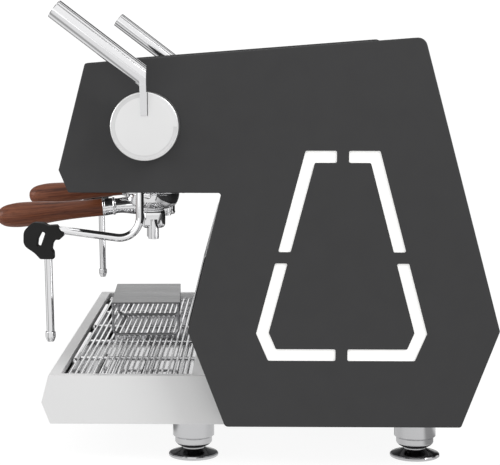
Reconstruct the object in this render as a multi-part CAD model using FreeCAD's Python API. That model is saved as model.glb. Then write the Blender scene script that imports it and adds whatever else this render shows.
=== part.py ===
import FreeCAD, Part
import math
import os

# Two-group commercial espresso machine, one STEP file for each sub-part.
# X is the width, the working side faces -Y, +Z is up, and the origin is on the counter
# under the centre of the machine. "right" is the +X side. Lengths are in millimetres.

V = FreeCAD.Vector

# ---------------------------------------------------------------- driving dimensions

# Side casings and the chassis walls behind them.
PANEL_OUT = 400.0          # outer face of a side panel, from the centre plane
PANEL_IN = 358.5           # inner edge of its rim
PANEL_WALL = 2.5
WALL_OUT = 356.0           # chassis side wall
WALL_IN = 353.0
PANEL_OUTLINE = [          # side view: y, z, corner radius
    (-186.5, 513.3, 4), (-220, 381, 2), (-208, 353, 3), (-18, 353, 3), (-60, 179, 2),
    (-13, 57.5, 6), (284, 57.5, 4), (331, 180, 3), (233, 546.5, 12),
]
WALL_OUTLINE = [
    (-182, 509, 4), (-213, 382, 2), (-203, 358, 2), (-12, 358, 2), (-52, 180, 2),
    (-5, 53, 2), (277, 53, 2), (323, 180, 3), (228.5, 538, 8),
]
BOSS_PLACES = [(-150, 470), (195, 495), (240, 95), (20, 95)]
BOSS_R = 8.0

# The lit slot in each side panel: one trapezoid band, broken by four bridges.
LIGHT_Y = 132.8
LIGHT_OUTLINE = [
    (-46.3, 406, 0), (-107, 176.5, 0), (-92, 142, 0), (92, 142, 0), (107, 176.5, 0), (46.3, 406, 0),
]
LIGHT_BAND = 15.0
LIGHT_LAP = 8.0
BRIDGE = 15.0
BRIDGE_Z = (265.3, 279.3)
DIFFUSER = 3.0
SPINDLE_HOLE_R = 10.0
VALVE_HOLE_R = 15.05

# Sheet metal between the side walls.
SHEET_X = 352.9
SHEET = 1.5
FASCIA = 2.0
FASCIA_TOP = (-186.3, 513.0)
FASCIA_NOSE = (-218.0, 381.3)
FASCIA_FOOT = (-205.5, 354.6)
FLOOR_Z = 354.6
COLUMN_TOP_Y = -15.5
COLUMN_FOOT = (-35.5, 271.0)
COVER_TOP = (232.6, 541.0)
COVER_WAIST = (329.3, 180.2)
COVER_FOOT = (283.4, 61.0)
CUP_TRAY = [(-184, 512.5), (-184, 499), (226, 529.7), (226, 541)]

# Base and feet.
PAN_Z = 51.0
BASE_Z = 53.0
BASE_TOP = 65.0
RAIL_X = (300.0, 330.0)
TUBE_WALL = 1.5
FOOT_X = 315.0
FOOT_Y = (-56.0, 234.0)
STUD_R = 5.0

# Drip tray.
TRAY_X = 358.0
TRAY_TOP = 114.0
TRAY_WALL = 2.0
TRAY_PROFILE = [(-240.8, 114, 1), (-249.8, 78.6, 2), (-239, 51, 1), (0, 51, 0), (0, 114, 0)]
OPENING_X = 345.0
OPENING_Y = (-226.0, -57.0)
TRAY_REAR_Y = -35.0
DRIP_TOP = 103.0
DRIP_GAP = 2.0
WIRE_R = 1.5
WIRE_PITCH = 8.0
WIRE_COUNT = 20
ROD_R = 2.0
ROD_X = (64.5, 193.5, 322.5, 339.0)

# Cup stand, lying on the grille.
STAND_X = (-140.0, 49.0)
STAND_Y = (-191.0, -91.0)
STAND_TOP = 160.0
STAND_TURN = 2.4
STAND_WIRE_R = 2.0
STAND_FOOT = 109.9          # underside of the stand's legs, just above the rods they pass

# Groups and portafilters.
GROUP_X = 157.0
GROUP_Y = -119.0
GROUP_FOOT = 333.0
GROUP_TOP = 372.0
BELL_R = 47.0
LEDGE_R = 36.0
LUG_GROOVE_R = 42.5
LUG_GROOVE_Z = (338.0, 346.0)
UNLOCK_TURN = -47.0        # handle direction at which the lugs meet their entry slots
LOCK_TURN = 8.0            # handle direction when it is locked
LUG_WIDTH_DEG = 40.0
FILTER_R = 34.5
FILTER_TOP = 342.8
BOWL_R = 37.0
BOWL_FOOT = 308.0
BASKET_R = 29.0
BASKET_DEPTH = 24.0
HANDLE_DROOP = 4.8
HANDLE_OUTLINE = [         # distance from the group axis, radius
    (70, 12), (98, 12.2), (126, 13.2), (157, 15.9), (180, 17), (199, 15.3), (210.5, 10), (214.7, 0),
]
SPOUT_FOOT = 268.5
SPOUT_R = 7.5
SPOUT_X = 13.0

# Steam side: valves, levers and wands.
VALVE_Y = -111.0
VALVE_Z = 437.0
DISC_R = 42.0
DISC_X = (401.0, 432.0)
DISC_GROOVE_R = (35.5, 40.0)
SPINDLE_R = 5.0
LEVER_X = 445.0
LEVER_R = 12.5
LEVER_TIP = (-217.8, 579.4)
LEVER_ROOT = (-110.0, 497.3)
LEVER_CUT_Y = -107.0
BLADE_Y = (-115.0, -107.0)
BLADE_FOOT = 450.0
WAND_X = 280.0
WAND_Y = -128.0
WAND_R = 5.25
WAND_BORE_R = 3.5
WAND_BALL_Z = 358.0
WAND_BALL_R = 8.0
WAND_TURN_LEFT = -25.0     # the left wand rests swung outward
WAND_ROUTE = [(0, 0, 352), (0, 0, 278.8), (0, -122, 295.1), (0, -119, 158)]
WAND_BENDS = [27, 20]
WAND_NUT_R = 14.0
TIP_Y = -119.0             # the steam tip, from the wand's own axis
TAP_Y = -101.0             # the hot water outlet
TAP_NUT_R = 10.0
NUT_FOOT = 346.0

# The wand's finger guard, drawn in the plane of the right wand: y, z, corner radius.
GRIP_HALF = 9.0
GRIP_OUTLINE = [
    (-237, 299.7, 2), (-248, 299, 4), (-255, 302.6, 8), (-269, 303.2, 10), (-280.5, 292, 14),
    (-281, 273, 14), (-266, 262.5, 20), (-258.7, 254.7, 1.2), (-240.8, 254.7, 1.2),
    (-241.2, 264, 1.5), (-243.6, 267.5, 2), (-242.5, 275, 10), (-238.6, 280.6, 4),
    (-233.5, 280.2, 1.5), (-227.6, 285.6, 1.2), (-228.8, 289.2, 1),
]
GRIP_SLOT = [
    (-256.4, 291.3, 1.5), (-261.8, 281, 8), (-263, 271.5, 2), (-258.2, 271.5, 2),
    (-251.8, 289.8, 1.8),
]

# Controls on the fascia, placed by the distance down its face.
KEY_DROP = 66.0
KEY_PITCH = 32.0
KEY_R = 8.5
GAUGE_DROP = 62.0
GAUGE_R = 29.0
HOT_KEY_DROP = 112.0
SWITCH_X = -305.0
SWITCH_TILT = 8.0

# Water circuit.
BOILER_Y = 120.0
BOILER_Z = 400.0
BOILER_R = 82.0
BOILER_X = 215.0
MOTOR_Y = 205.0
MOTOR_Z = 118.0
SHAFT_R = 6.0
RUNNING = 0.06             # radial clearance of a shaft in its bore
BEAM_Z = (372.0, 390.0)
BEAM_Y = (-150.0, -88.0)

MARGIN = 1.0               # how far a cutting tool runs past the face it cuts


# ---------------------------------------------------------------- shape helpers

def box(x0, x1, y0, y1, z0, z1):
    return Part.makeBox(x1 - x0, y1 - y0, z1 - z0, V(x0, y0, z0))


def rod(start, end, radius):
    axis = V(*end) - V(*start)
    return Part.makeCylinder(radius, axis.Length, V(*start), axis)


def valve_rod(x0, x1, radius):
    """Rod along the steam valve's axis."""
    return rod((x0, VALVE_Y, VALVE_Z), (x1, VALVE_Y, VALVE_Z), radius)


def fuse(shapes):
    return shapes[0].fuse(shapes[1:]).removeSplitter()


def mirrored(shape):
    return shape.mirror(V(0, 0, 0), V(1, 0, 0))


def moved(shape, x=0.0, y=0.0, z=0.0):
    copy = shape.copy()
    copy.translate(V(x, y, z))
    return copy


def turned(shape, centre, axis, degrees):
    copy = shape.copy()
    copy.rotate(V(*centre), V(*axis), degrees)
    return copy


def unit(a, b):
    length = math.hypot(a, b)
    return a / length, b / length


def closed_wire(corners, place):
    """Closed wire through (a, b, radius) corners, where place maps a, b to a point."""
    arcs = []
    for i, (a, b, radius) in enumerate(corners):
        before = corners[i - 1]
        after = corners[(i + 1) % len(corners)]
        ua, ub = unit(before[0] - a, before[1] - b)
        va, vb = unit(after[0] - a, after[1] - b)
        half = math.acos(max(-1.0, min(1.0, ua * va + ub * vb))) / 2
        if radius == 0:
            arcs.append(((a, b), None, (a, b)))
            continue
        reach = radius / math.tan(half)
        ma, mb = unit(ua + va, ub + vb)
        rise = radius / math.sin(half) - radius
        first = (a + ua * reach, b + ub * reach)
        last = (a + va * reach, b + vb * reach)
        arcs.append((first, (a + ma * rise, b + mb * rise), last))
    edges = []
    for i, (first, middle, last) in enumerate(arcs):
        previous = arcs[i - 1][2]
        if math.dist(previous, first) > 1e-6:
            edges.append(Part.makeLine(place(*previous), place(*first)))
        if middle:
            edges.append(Part.Arc(place(*first), place(*middle), place(*last)).toShape())
    return Part.Wire(Part.__sortEdges__(edges))


def prism_x(corners, x0, x1):
    wire = closed_wire(corners, lambda y, z: V(x0, y, z))
    return Part.Face(wire).extrude(V(x1 - x0, 0, 0))


def prism_y(corners, y0, y1):
    wire = closed_wire(corners, lambda x, z: V(x, y0, z))
    return Part.Face(wire).extrude(V(0, y1 - y0, 0))


def prism_z(corners, z0, z1):
    wire = closed_wire(corners, lambda x, y: V(x, y, z0))
    return Part.Face(wire).extrude(V(0, 0, z1 - z0))


def rounded_box(x0, x1, y0, y1, z0, z1, radius):
    corners = [(x0, y0, radius), (x1, y0, radius), (x1, y1, radius), (x0, y1, radius)]
    return prism_z(corners, z0, z1)


def turned_z(corners, x=0.0, y=0.0):
    """Solid of revolution about a vertical axis from an (r, z, corner radius) outline."""
    wire = closed_wire(corners, lambda r, z: V(r, 0, z))
    return moved(Part.Face(wire).revolve(V(0, 0, 0), V(0, 0, 1), 360), x, y)


def turned_x(corners, y, z):
    """Solid of revolution about an axis along X from an (x, r, corner radius) outline."""
    wire = closed_wire(corners, lambda x, r: V(x, r, 0))
    return moved(Part.Face(wire).revolve(V(0, 0, 0), V(1, 0, 0), 360), 0, y, z)


def shifted_lines(points, shift, closed):
    """The points of a polyline moved to its left by shift, keeping its corners sharp."""
    count = len(points)
    result = []
    for i, point in enumerate(points):
        before = points[i - 1] if i or closed else None
        after = points[(i + 1) % count] if i < count - 1 or closed else None
        normals = []
        if before:
            da, db = unit(point[0] - before[0], point[1] - before[1])
            normals.append((-db, da))
        if after:
            da, db = unit(after[0] - point[0], after[1] - point[1])
            normals.append((-db, da))
        na = sum(n[0] for n in normals)
        nb = sum(n[1] for n in normals)
        scale = shift * len(normals) / (na * na + nb * nb)
        result.append((point[0] + na * scale, point[1] + nb * scale))
    return result


def inset(corners, depth):
    """A counter-clockwise outline moved inward by depth, with its corner radii adjusted."""
    points = [(a, b) for a, b, radius in corners]
    result = []
    for i, (a, b) in enumerate(shifted_lines(points, depth, True)):
        pa, pb = points[i - 1]
        ca, cb = points[i]
        na, nb = points[(i + 1) % len(points)]
        convex = (ca - pa) * (nb - cb) - (cb - pb) * (na - ca) > 0
        radius = corners[i][2]
        if radius:
            radius = max(radius - depth, 0) if convex else radius + depth
        result.append((a, b, radius))
    return result


def folded(points, thickness, half_width):
    """Sheet folded along (y, z) points, its thickness on the left of the walk."""
    back = shifted_lines(points, thickness, False)
    corners = [(y, z, 0) for y, z in points + back[::-1]]
    return prism_x(corners, -half_width, half_width)


def path(points, bends):
    """Wire of straight runs joined by tangent arcs, with one radius for each inner point."""
    places = [V(*p) for p in points]
    edges = []
    start = places[0]
    for i, radius in enumerate(bends, start=1):
        corner = places[i]
        back = (places[i - 1] - corner).normalize()
        ahead = (places[i + 1] - corner).normalize()
        half = back.getAngle(ahead) / 2
        reach = radius / math.tan(half)
        middle = (back + ahead).normalize() * (radius / math.sin(half) - radius)
        first = corner + back * reach
        last = corner + ahead * reach
        edges.append(Part.makeLine(start, first))
        edges.append(Part.Arc(first, corner + middle, last).toShape())
        start = last
    edges.append(Part.makeLine(start, places[-1]))
    return Part.Wire(edges)


def pipe(points, bends, radius, bore=0.0):
    route = path(points, bends)
    direction = V(*points[1]) - V(*points[0])

    def sweep(r):
        ring = Part.Wire(Part.makeCircle(r, V(*points[0]), direction))
        return route.makePipeShell([ring], True, True)

    return sweep(radius).cut(sweep(bore)) if bore else sweep(radius)


def edges_at(shape, test):
    return [edge for edge in shape.Edges if all(test(v.Point) for v in edge.Vertexes)]


def on_fascia(shape, x, drop):
    """Places a shape built with +Z outward and +Y up the face, drop below the top edge."""
    dy, dz = unit(FASCIA_NOSE[0] - FASCIA_TOP[0], FASCIA_NOSE[1] - FASCIA_TOP[1])
    lean = math.degrees(math.atan2(-dz, -dy))
    upright = turned(shape, (0, 0, 0), (1, 0, 0), lean)
    return moved(upright, x, FASCIA_TOP[0] + dy * drop, FASCIA_TOP[1] + dz * drop)


def save(name, *solids):
    shape = solids[0] if len(solids) == 1 else Part.makeCompound(list(solids))
    count = len(shape.Solids)
    if not count or not shape.isValid():
        raise ValueError(f"{name} is not a valid solid")
    shape.exportStep(f"parts/{name}.step")
    print(f"{name}: {count} solids, {shape.Volume / 1000:.1f} cm3")


# ---------------------------------------------------------------- casing and chassis

def side_panel():
    block = prism_x(PANEL_OUTLINE, PANEL_IN, PANEL_OUT)
    block = block.makeFillet(1.5, edges_at(block, lambda p: p.x > PANEL_OUT - 0.01))
    face_in = PANEL_OUT - PANEL_WALL
    hollow = prism_x(inset(PANEL_OUTLINE, PANEL_WALL), PANEL_IN - MARGIN, face_in)
    spindle_hole = valve_rod(face_in - MARGIN, PANEL_OUT + MARGIN, SPINDLE_HOLE_R)
    bosses = [rod((WALL_OUT, y, z), (face_in, y, z), BOSS_R) for y, z in BOSS_PLACES]
    shell = block.cut([hollow, light_slots(), spindle_hole])
    return fuse([shell] + bosses)


def light_outline(depth):
    return [(y + LIGHT_Y, z, r) for y, z, r in inset(LIGHT_OUTLINE, depth)]


def light_slots():
    x0 = PANEL_OUT - PANEL_WALL - MARGIN
    x1 = PANEL_OUT + MARGIN
    band = prism_x(light_outline(0), x0, x1).cut(prism_x(light_outline(LIGHT_BAND), x0, x1))
    half = BRIDGE / 2
    bridges = [
        box(x0, x1, LIGHT_Y - half, LIGHT_Y + half, 100, 450),
        box(x0, x1, LIGHT_Y - 150, LIGHT_Y + 150, *BRIDGE_Z),
    ]
    slots = band.cut(bridges)
    lengthwise = [e for e in slots.Edges if abs(e.tangentAt(e.FirstParameter).x) > 0.999]
    return slots.makeFillet(2.0, lengthwise)


def light_diffuser():
    x1 = PANEL_OUT - PANEL_WALL
    x0 = x1 - DIFFUSER
    plate = prism_x(light_outline(-LIGHT_LAP), x0, x1)
    return plate.cut(prism_x(light_outline(LIGHT_BAND + LIGHT_LAP), x0 - MARGIN, x1 + MARGIN))


def side_wall():
    plate = prism_x(WALL_OUTLINE, WALL_IN, WALL_OUT)
    return plate.cut(valve_rod(WALL_IN - MARGIN, WALL_OUT + MARGIN, VALVE_HOLE_R))


def front_fascia():
    sheet = folded([FASCIA_TOP, FASCIA_NOSE, FASCIA_FOOT], FASCIA, SHEET_X)
    key_hole = rod((0, 0, -9), (0, 0, 9), KEY_R + 0.4)
    gauge_hole = rod((0, 0, -9), (0, 0, 9), GAUGE_R + 0.2)
    cuts = [on_fascia(key_hole, x, KEY_DROP) for x in key_places()]
    cuts.append(on_fascia(key_hole, 0, HOT_KEY_DROP))
    cuts.append(on_fascia(gauge_hole, 0, GAUGE_DROP))
    cuts.append(on_fascia(box(-10.5, 10.5, -15.5, 15.5, -9, 9), SWITCH_X, KEY_DROP))
    return sheet.cut(cuts)


def head_floor():
    points = [(FASCIA_FOOT[0] + FASCIA, FLOOR_Z), (COLUMN_TOP_Y, FLOOR_Z), COLUMN_FOOT]
    sheet = folded(points[::-1], -SHEET, SHEET_X)
    z0, z1 = FLOOR_Z - 4, FLOOR_Z + 4
    cuts = [rod((x, GROUP_Y, z0), (x, GROUP_Y, z1), BELL_R + 0.3) for x in (-GROUP_X, GROUP_X)]
    cuts += [rod((x, WAND_Y, z0), (x, WAND_Y, z1), WAND_NUT_R + 0.3) for x in (-WAND_X, WAND_X)]
    cuts.append(rod((0, TAP_Y, z0), (0, TAP_Y, z1), TAP_NUT_R + 0.3))
    return sheet.cut(cuts)


def splash_panel():
    points = [(-35.5, 269.5), (-41.5, 268), (-63, 179), (-38, TRAY_TOP + 0.2)]
    return folded(points, SHEET, SHEET_X)


def cup_tray():
    sheet = folded(CUP_TRAY, SHEET, SHEET_X)
    slot = rounded_box(-4, 4, -32, 32, 480, 560, 3.9)
    places = [(x, y) for x in range(-280, 281, 70) for y in (-130, -30, 70, 170)]
    return sheet.cut([moved(slot, x, y) for x, y in places])


def rear_cover():
    sheet = folded([COVER_TOP, COVER_WAIST, COVER_FOOT], -SHEET, SHEET_X)
    slots = []
    for x in (-220, 0, 220):
        for z in range(240, 441, 25):
            slots.append(box(x - 45, x + 45, 200, 340, z - 2.5, z + 2.5))
    return sheet.cut(slots)


def screw_places():
    """Rear cover screws: y and z on the two slopes of the cover, and the slope's tilt."""
    places = []
    for z in (110, 210, 360, 510):
        lower, upper = (COVER_WAIST, COVER_TOP) if z > COVER_WAIST[1] else (COVER_FOOT, COVER_WAIST)
        slope = (upper[0] - lower[0]) / (upper[1] - lower[1])
        places.append((lower[0] + (z - lower[1]) * slope, z, -math.atan(slope)))
    return places


def cover_screws():
    screws = []
    for y, z, tilt in screw_places():
        head = turned_z([(0, 0, 0), (4.5, 0, 0), (4.5, 2.4, 1.2), (0, 2.4, 0)])
        corners = [i * math.pi / 3 for i in range(6)]
        hexagon = [(1.6 * math.cos(a), 1.6 * math.sin(a), 0) for a in corners]
        head = head.cut(prism_z(hexagon, 1.2, 3))
        head = turned(head, (0, 0, 0), (1, 0, 0), -90 + math.degrees(tilt))
        screws += [moved(head, x, y, z) for x in (-340, 340)]
    return screws


# ---------------------------------------------------------------- base and feet

def base_frame():
    rails = []
    for side in (-1, 1):
        x0, x1 = sorted((side * RAIL_X[0], side * RAIL_X[1]))
        rail = hollow_bar(x0, x1, -232, 270)
        x = side * FOOT_X
        stud_holes = [rod((x, y, BASE_Z - MARGIN), (x, y, BASE_Z + 5), STUD_R + 0.3) for y in FOOT_Y]
        rails.append(rail.cut(stud_holes))
    spans = [hollow_bar(-RAIL_X[0], RAIL_X[0], y, y + 25) for y in (-232, 10, 245)]
    return rails + spans


def hollow_bar(x0, x1, y0, y1):
    outer = box(x0, x1, y0, y1, BASE_Z, BASE_TOP)
    w = TUBE_WALL
    return outer.cut(box(x0 + w, x1 - w, y0 + w, y1 - w, BASE_Z + w, BASE_TOP - w))


def bottom_pan():
    floor = [
        box(-WALL_OUT, WALL_OUT, -95, 2, PAN_Z, BASE_Z),
        box(-TRAY_X, TRAY_X, 2, 283, PAN_Z, BASE_Z),
        box(WALL_OUT + 0.1, TRAY_X, 2, 279, BASE_Z, 62),
        box(-TRAY_X, -WALL_OUT - 0.1, 2, 279, BASE_Z, 62),
    ]
    pan = fuse(floor)
    places = [(x, y) for x in (-FOOT_X, FOOT_X) for y in FOOT_Y]
    z0, z1 = PAN_Z - MARGIN, BASE_Z + MARGIN
    pan = pan.cut([rod((x, y, z0), (x, y, z1), STUD_R + 0.3) for x, y in places])
    vents = [rounded_box(x - 3, x + 3, 120, 170, z0, z1, 2.9) for x in range(-260, 261, 40)]
    return pan.cut(vents)


def levelling_foot():
    outline = [
        (0, 0, 0), (32.5, 0, 1), (32.5, 5.5, 1.5), (19, 14, 2), (24.5, 21, 3), (24.5, 31, 1.5),
        (27, 31, 0), (27, PAN_Z, 1), (STUD_R, PAN_Z, 0), (STUD_R, 60, 0), (0, 60, 0),
    ]
    return turned_z(outline)


# ---------------------------------------------------------------- drip tray

def drip_tray_frame():
    shell = prism_x(TRAY_PROFILE, -TRAY_X, TRAY_X)
    x = TRAY_X - TRAY_WALL
    x_open = OPENING_X
    y0, y1 = OPENING_Y
    z_in = TRAY_TOP - TRAY_WALL
    cuts = [
        prism_x(inset(TRAY_PROFILE, TRAY_WALL), -x, x),
        box(-x, x, -TRAY_WALL - MARGIN, MARGIN, PAN_Z - MARGIN, TRAY_TOP + MARGIN),
        box(-x, x, TRAY_REAR_Y, MARGIN, z_in - MARGIN, TRAY_TOP + MARGIN),
        box(-342, 342, -214, -95, PAN_Z - MARGIN, BASE_Z + MARGIN),
        box(-x, x, -95, MARGIN, PAN_Z - MARGIN, BASE_Z + MARGIN),
    ]
    shell = shell.cut(cuts)
    t = 1.5
    lip = rounded_box(-x_open - t, x_open + t, y0 - t, y1 + t, 106, z_in, 3.5)
    shell = fuse([shell, lip])
    opening = rounded_box(-x_open, x_open, y0, y1, 100, TRAY_TOP + MARGIN, 2)
    finger_notch = [(356.2, -188, 1), (356.2, -162, 1), (349, -162, 1), (349, -176, 4)]
    notch = prism_z(finger_notch, z_in - MARGIN, TRAY_TOP + MARGIN)
    return shell.cut([opening, notch, mirrored(notch)])


def drip_pan():
    x = OPENING_X - DRIP_GAP
    y0 = OPENING_Y[0] + 1.5
    y1 = OPENING_Y[1] - 1.5
    w = 1.5
    foot = BASE_TOP + 0.3
    outer = rounded_box(-x, x, y0, y1, foot, DRIP_TOP, 8)
    inner = rounded_box(-x + w, x - w, y0 + w, y1 - w, foot + w, DRIP_TOP + MARGIN, 6.5)
    drain = rod((0, -80, foot - MARGIN), (0, -80, foot + 4), 10)
    rim = rounded_box(-x - 1, x + 1, y0 - 0.8, y1 + 0.8, DRIP_TOP - 1.2, DRIP_TOP, 8.5)
    return fuse([outer, rim]).cut([inner, drain])


def drip_grille():
    rod_z = DRIP_TOP + 0.3 + ROD_R
    wire_z = rod_z + ROD_R + WIRE_R - 0.7
    y0 = OPENING_Y[0] + 2.2
    y1 = OPENING_Y[1] - 2.2
    first = OPENING_Y[0] + 8
    reach = ROD_X[-1] + 2
    pieces = []
    for x in ROD_X:
        pieces += [rod((side * x, y0, rod_z), (side * x, y1, rod_z), ROD_R) for side in (-1, 1)]
    for i in range(WIRE_COUNT):
        y = first + i * WIRE_PITCH
        pieces.append(rod((-reach, y, wire_z), (reach, y, wire_z), WIRE_R))
    stop_z = 109.8
    stop_y = first - 2.4
    for x0, x1 in ((30, 235), (-235, -30)):
        points = [
            (x0, stop_y, rod_z), (x0, stop_y, stop_z), (x1, stop_y, stop_z), (x1, stop_y, rod_z),
        ]
        pieces.append(pipe(points, [3.5, 3.5], 3.0))
    return fuse(pieces)


def cup_stand():
    plate = rounded_box(*STAND_X, *STAND_Y, STAND_TOP - 2, STAND_TOP, 1.5)
    z0 = STAND_FOOT + STAND_WIRE_R
    z1 = STAND_TOP - 1
    y0 = STAND_Y[0] + 2
    y1 = STAND_Y[1] - 2
    legs = []
    for x in (STAND_X[0] + 6, STAND_X[1] - 6):
        legs.append(pipe([(x, y0, z1), (x, y0, z0), (x, y1, z0), (x, y1, z1)], [9, 9], STAND_WIRE_R))
    centre = (sum(STAND_X) / 2, sum(STAND_Y) / 2, 0)
    return turned(fuse([plate] + legs), centre, (0, 0, 1), STAND_TURN)


# ---------------------------------------------------------------- groups and portafilters

def wedge(angle, spread, radius, z0, z1):
    slice_ = Part.makeCylinder(radius, z1 - z0, V(0, 0, z0), V(0, 0, 1), spread)
    return turned(slice_, (0, 0, 0), (0, 0, 1), angle - spread / 2)


def group_head():
    groove_z0, groove_z1 = LUG_GROOVE_Z
    outline = [
        (LEDGE_R, GROUP_FOOT, 0.8), (45, GROUP_FOOT, 1), (BELL_R, GROUP_FOOT + 3, 2),
        (BELL_R, GROUP_TOP, 0), (6, GROUP_TOP, 0), (6, 356, 0), (28.2, 356, 0), (28.2, 352, 0),
        (36.3, 352, 0), (36.3, groove_z1, 0), (LUG_GROOVE_R, groove_z1, 0),
        (LUG_GROOVE_R, groove_z0, 0), (LEDGE_R, groove_z0, 0),
    ]
    bell = turned_z(outline)
    for side in (0, 180):
        width = LUG_WIDTH_DEG + 8
        entry = wedge(UNLOCK_TURN + side, width, LUG_GROOVE_R, GROUP_FOOT - MARGIN, 340)
        bell = bell.cut(entry.cut(rod((0, 0, 300), (0, 0, 400), 30)))
    return bell


def group_gasket():
    return turned_z([(29, 344.1, 0.5), (36.2, 344.1, 0), (36.2, 352, 0), (29, 352, 0)])


def shower_screen():
    disc = turned_z([
        (0, 343.2, 0), (27.5, 343.2, 1), (27.5, 356, 0), (26, 356, 0), (26, 344.7, 0), (0, 344.7, 0),
    ])
    return disc.cut(ring_holes(((7, 6), (14, 12), (21, 18)), 342, 346, 1.0))


def ring_holes(rings, z0, z1, radius):
    """Upright rods in rings about the Z axis, given as (ring radius, count)."""
    holes = []
    for ring, count in rings:
        for i in range(count):
            a = 2 * math.pi * i / count
            x, y = ring * math.cos(a), ring * math.sin(a)
            holes.append(rod((x, y, z0), (x, y, z1), radius))
    return holes


def along_handle(shape):
    """Places a shape built along +X, with X measured from the group axis, on the handle's line."""
    forward = turned(shape, (0, 0, 0), (0, 0, 1), -90)
    return moved(turned(forward, (0, 0, 0), (1, 0, 0), HANDLE_DROOP), z=317.9)


def turned_along_handle(corners):
    return along_handle(turned_x(corners, 0, 0))


def portafilter_body():
    bowl = turned_z([
        (0, BOWL_FOOT, 0), (BOWL_R, BOWL_FOOT, 14), (BOWL_R, 331, 1), (FILTER_R, 331, 0),
        (FILTER_R, FILTER_TOP, 0), (0, FILTER_TOP, 0),
    ])
    lugs = []
    for side in (0, 180):
        lug = wedge(side, LUG_WIDTH_DEG, 41.5, LUG_GROOVE_Z[0] + 0.4, FILTER_TOP)
        lugs.append(lug.cut(rod((0, 0, 300), (0, 0, 400), 33)))
    neck = turned_along_handle([(20, 0, 0), (20, 13, 0), (42, 10.5, 8), (53, 11, 0), (53, 0, 0)])
    ferrule = turned_along_handle([(53, 0, 0), (53, 11.75, 1), (70, 11.75, 1), (70, 0, 0)])
    block = box(-17, 17, -12, 12, 284, 312)
    block = block.makeFillet(5.0, edges_at(block, lambda p: p.z < 285))
    tubes = [rod((x, 0, SPOUT_FOOT), (x, 0, 290), SPOUT_R) for x in (-SPOUT_X, SPOUT_X)]
    above = FILTER_TOP + MARGIN
    below = SPOUT_FOOT - MARGIN
    cavity = turned_z([(0, 313, 0), (31, 313, 10), (31, above, 0), (0, above, 0)])
    bores = [rod((x, 0, below), (x, 0, 296), SPOUT_R - 1.5) for x in (-SPOUT_X, SPOUT_X)]
    throats = [rod((x, 0, 296), (0, 0, 313.5), 3.0) for x in (-SPOUT_X, SPOUT_X)]
    return fuse([bowl, neck, ferrule, block] + lugs + tubes).cut([cavity] + bores + throats)


def filter_basket():
    z0 = FILTER_TOP + 0.9 - BASKET_DEPTH
    top = FILTER_TOP + 0.9
    r = BASKET_R
    cup = turned_z([
        (0, z0, 0), (r + 0.7, z0, 4), (r + 0.7, FILTER_TOP, 0), (34, FILTER_TOP, 0), (34, top, 0),
        (r, top, 0), (r, z0 + 0.8, 3.2), (0, z0 + 0.8, 0),
    ])
    return cup.cut(ring_holes(((6, 6), (12, 12), (18, 18)), z0 - 1, z0 + 2, 0.8))


def portafilter_handle():
    """Turned wooden grip: slim behind the ferrule, full towards the rounded end."""
    points = [V(x, r, 0) for x, r in HANDLE_OUTLINE]
    curve = Part.BSplineCurve()
    curve.interpolate(points, InitialTangent=V(1, 0, 0), FinalTangent=V(0, -1, 0))
    foot = V(points[0].x, 0, 0)
    edges = [curve.toShape(), Part.makeLine(points[-1], foot), Part.makeLine(foot, points[0])]
    face = Part.Face(Part.Wire(Part.__sortEdges__(edges)))
    return along_handle(face.revolve(V(0, 0, 0), V(1, 0, 0), 360))


def at_group(shape, side, locked=True):
    placed = turned(shape, (0, 0, 0), (0, 0, 1), LOCK_TURN) if locked else shape
    return moved(placed, side * GROUP_X, GROUP_Y)


# ---------------------------------------------------------------- steam levers and wands

def valve_disc():
    """Hollow-backed knob disc on its spindle, with a C-shaped groove and a slot for the lever."""
    x0, x1 = DISC_X
    y, z = VALVE_Y, VALVE_Z
    disc = turned_x([(x0, 0, 0), (x0, DISC_R, 1), (x1, DISC_R, 1.5), (x1, 0, 0)], y, z)
    hollow = turned_x([(x0 - 1, 9, 0), (x0 - 1, 38, 0), (418, 38, 3), (418, 9, 0)], y, z)
    r0, r1 = DISC_GROOVE_R
    floor = x1 - 1.5
    groove = turned_x([(floor, r0, 0), (floor, r1, 0), (x1 + 1, r1, 0), (x1 + 1, r0, 0)], y, z)
    gap = box(x1 - 2, x1 + 2, y, y + 50, z, z + 50)
    slot = box(420, x1 + 1, BLADE_Y[0] - 0.5, BLADE_Y[1] + 0.5, BLADE_FOOT, z + 50)
    spindle = valve_rod(330, x0 + 1, SPINDLE_R)
    return fuse([disc.cut([hollow, groove.cut(gap), slot]), spindle])


def steam_lever():
    """Tubular lever cut square to a flat blade, which stands in the disc's slot."""
    tip = V(LEVER_X, *LEVER_TIP)
    root = V(LEVER_X, *LEVER_ROOT)
    axis = (root - tip).normalize()
    end = root + axis * 40
    tube = Part.makeCylinder(LEVER_R, (end - tip).Length, tip, axis)
    rim = [e for e in tube.Edges if e.Closed and e.BoundBox.Center.sub(tip).Length < 1]
    tube = tube.makeChamfer(0.8, rim)
    bore = Part.makeCylinder(LEVER_R - 2, (root - tip).Length - 24, tip + axis * 3, axis)
    beyond = box(LEVER_X - 30, LEVER_X + 30, LEVER_CUT_Y, LEVER_CUT_Y + 80, 440, 520)
    blade = prism_y([
        (420, BLADE_FOOT, 0), (438, BLADE_FOOT, 2), (456, 486, 6), (456, 500, 0), (434, 500, 0),
        (420, 472, 6),
    ], *BLADE_Y)
    return fuse([tube.cut([beyond, bore]), blade])


def steam_valve():
    body = turned_x([
        (262, 0, 0), (262, 15, 2), (344, 15, 0), (344, 20, 0), (WALL_IN, 20, 0), (WALL_IN, 15, 0),
        (357, 15, 1), (357, 0, 0),
    ], VALVE_Y, VALVE_Z)
    return body.cut(valve_rod(328, 358, SPINDLE_R + RUNNING))


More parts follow.
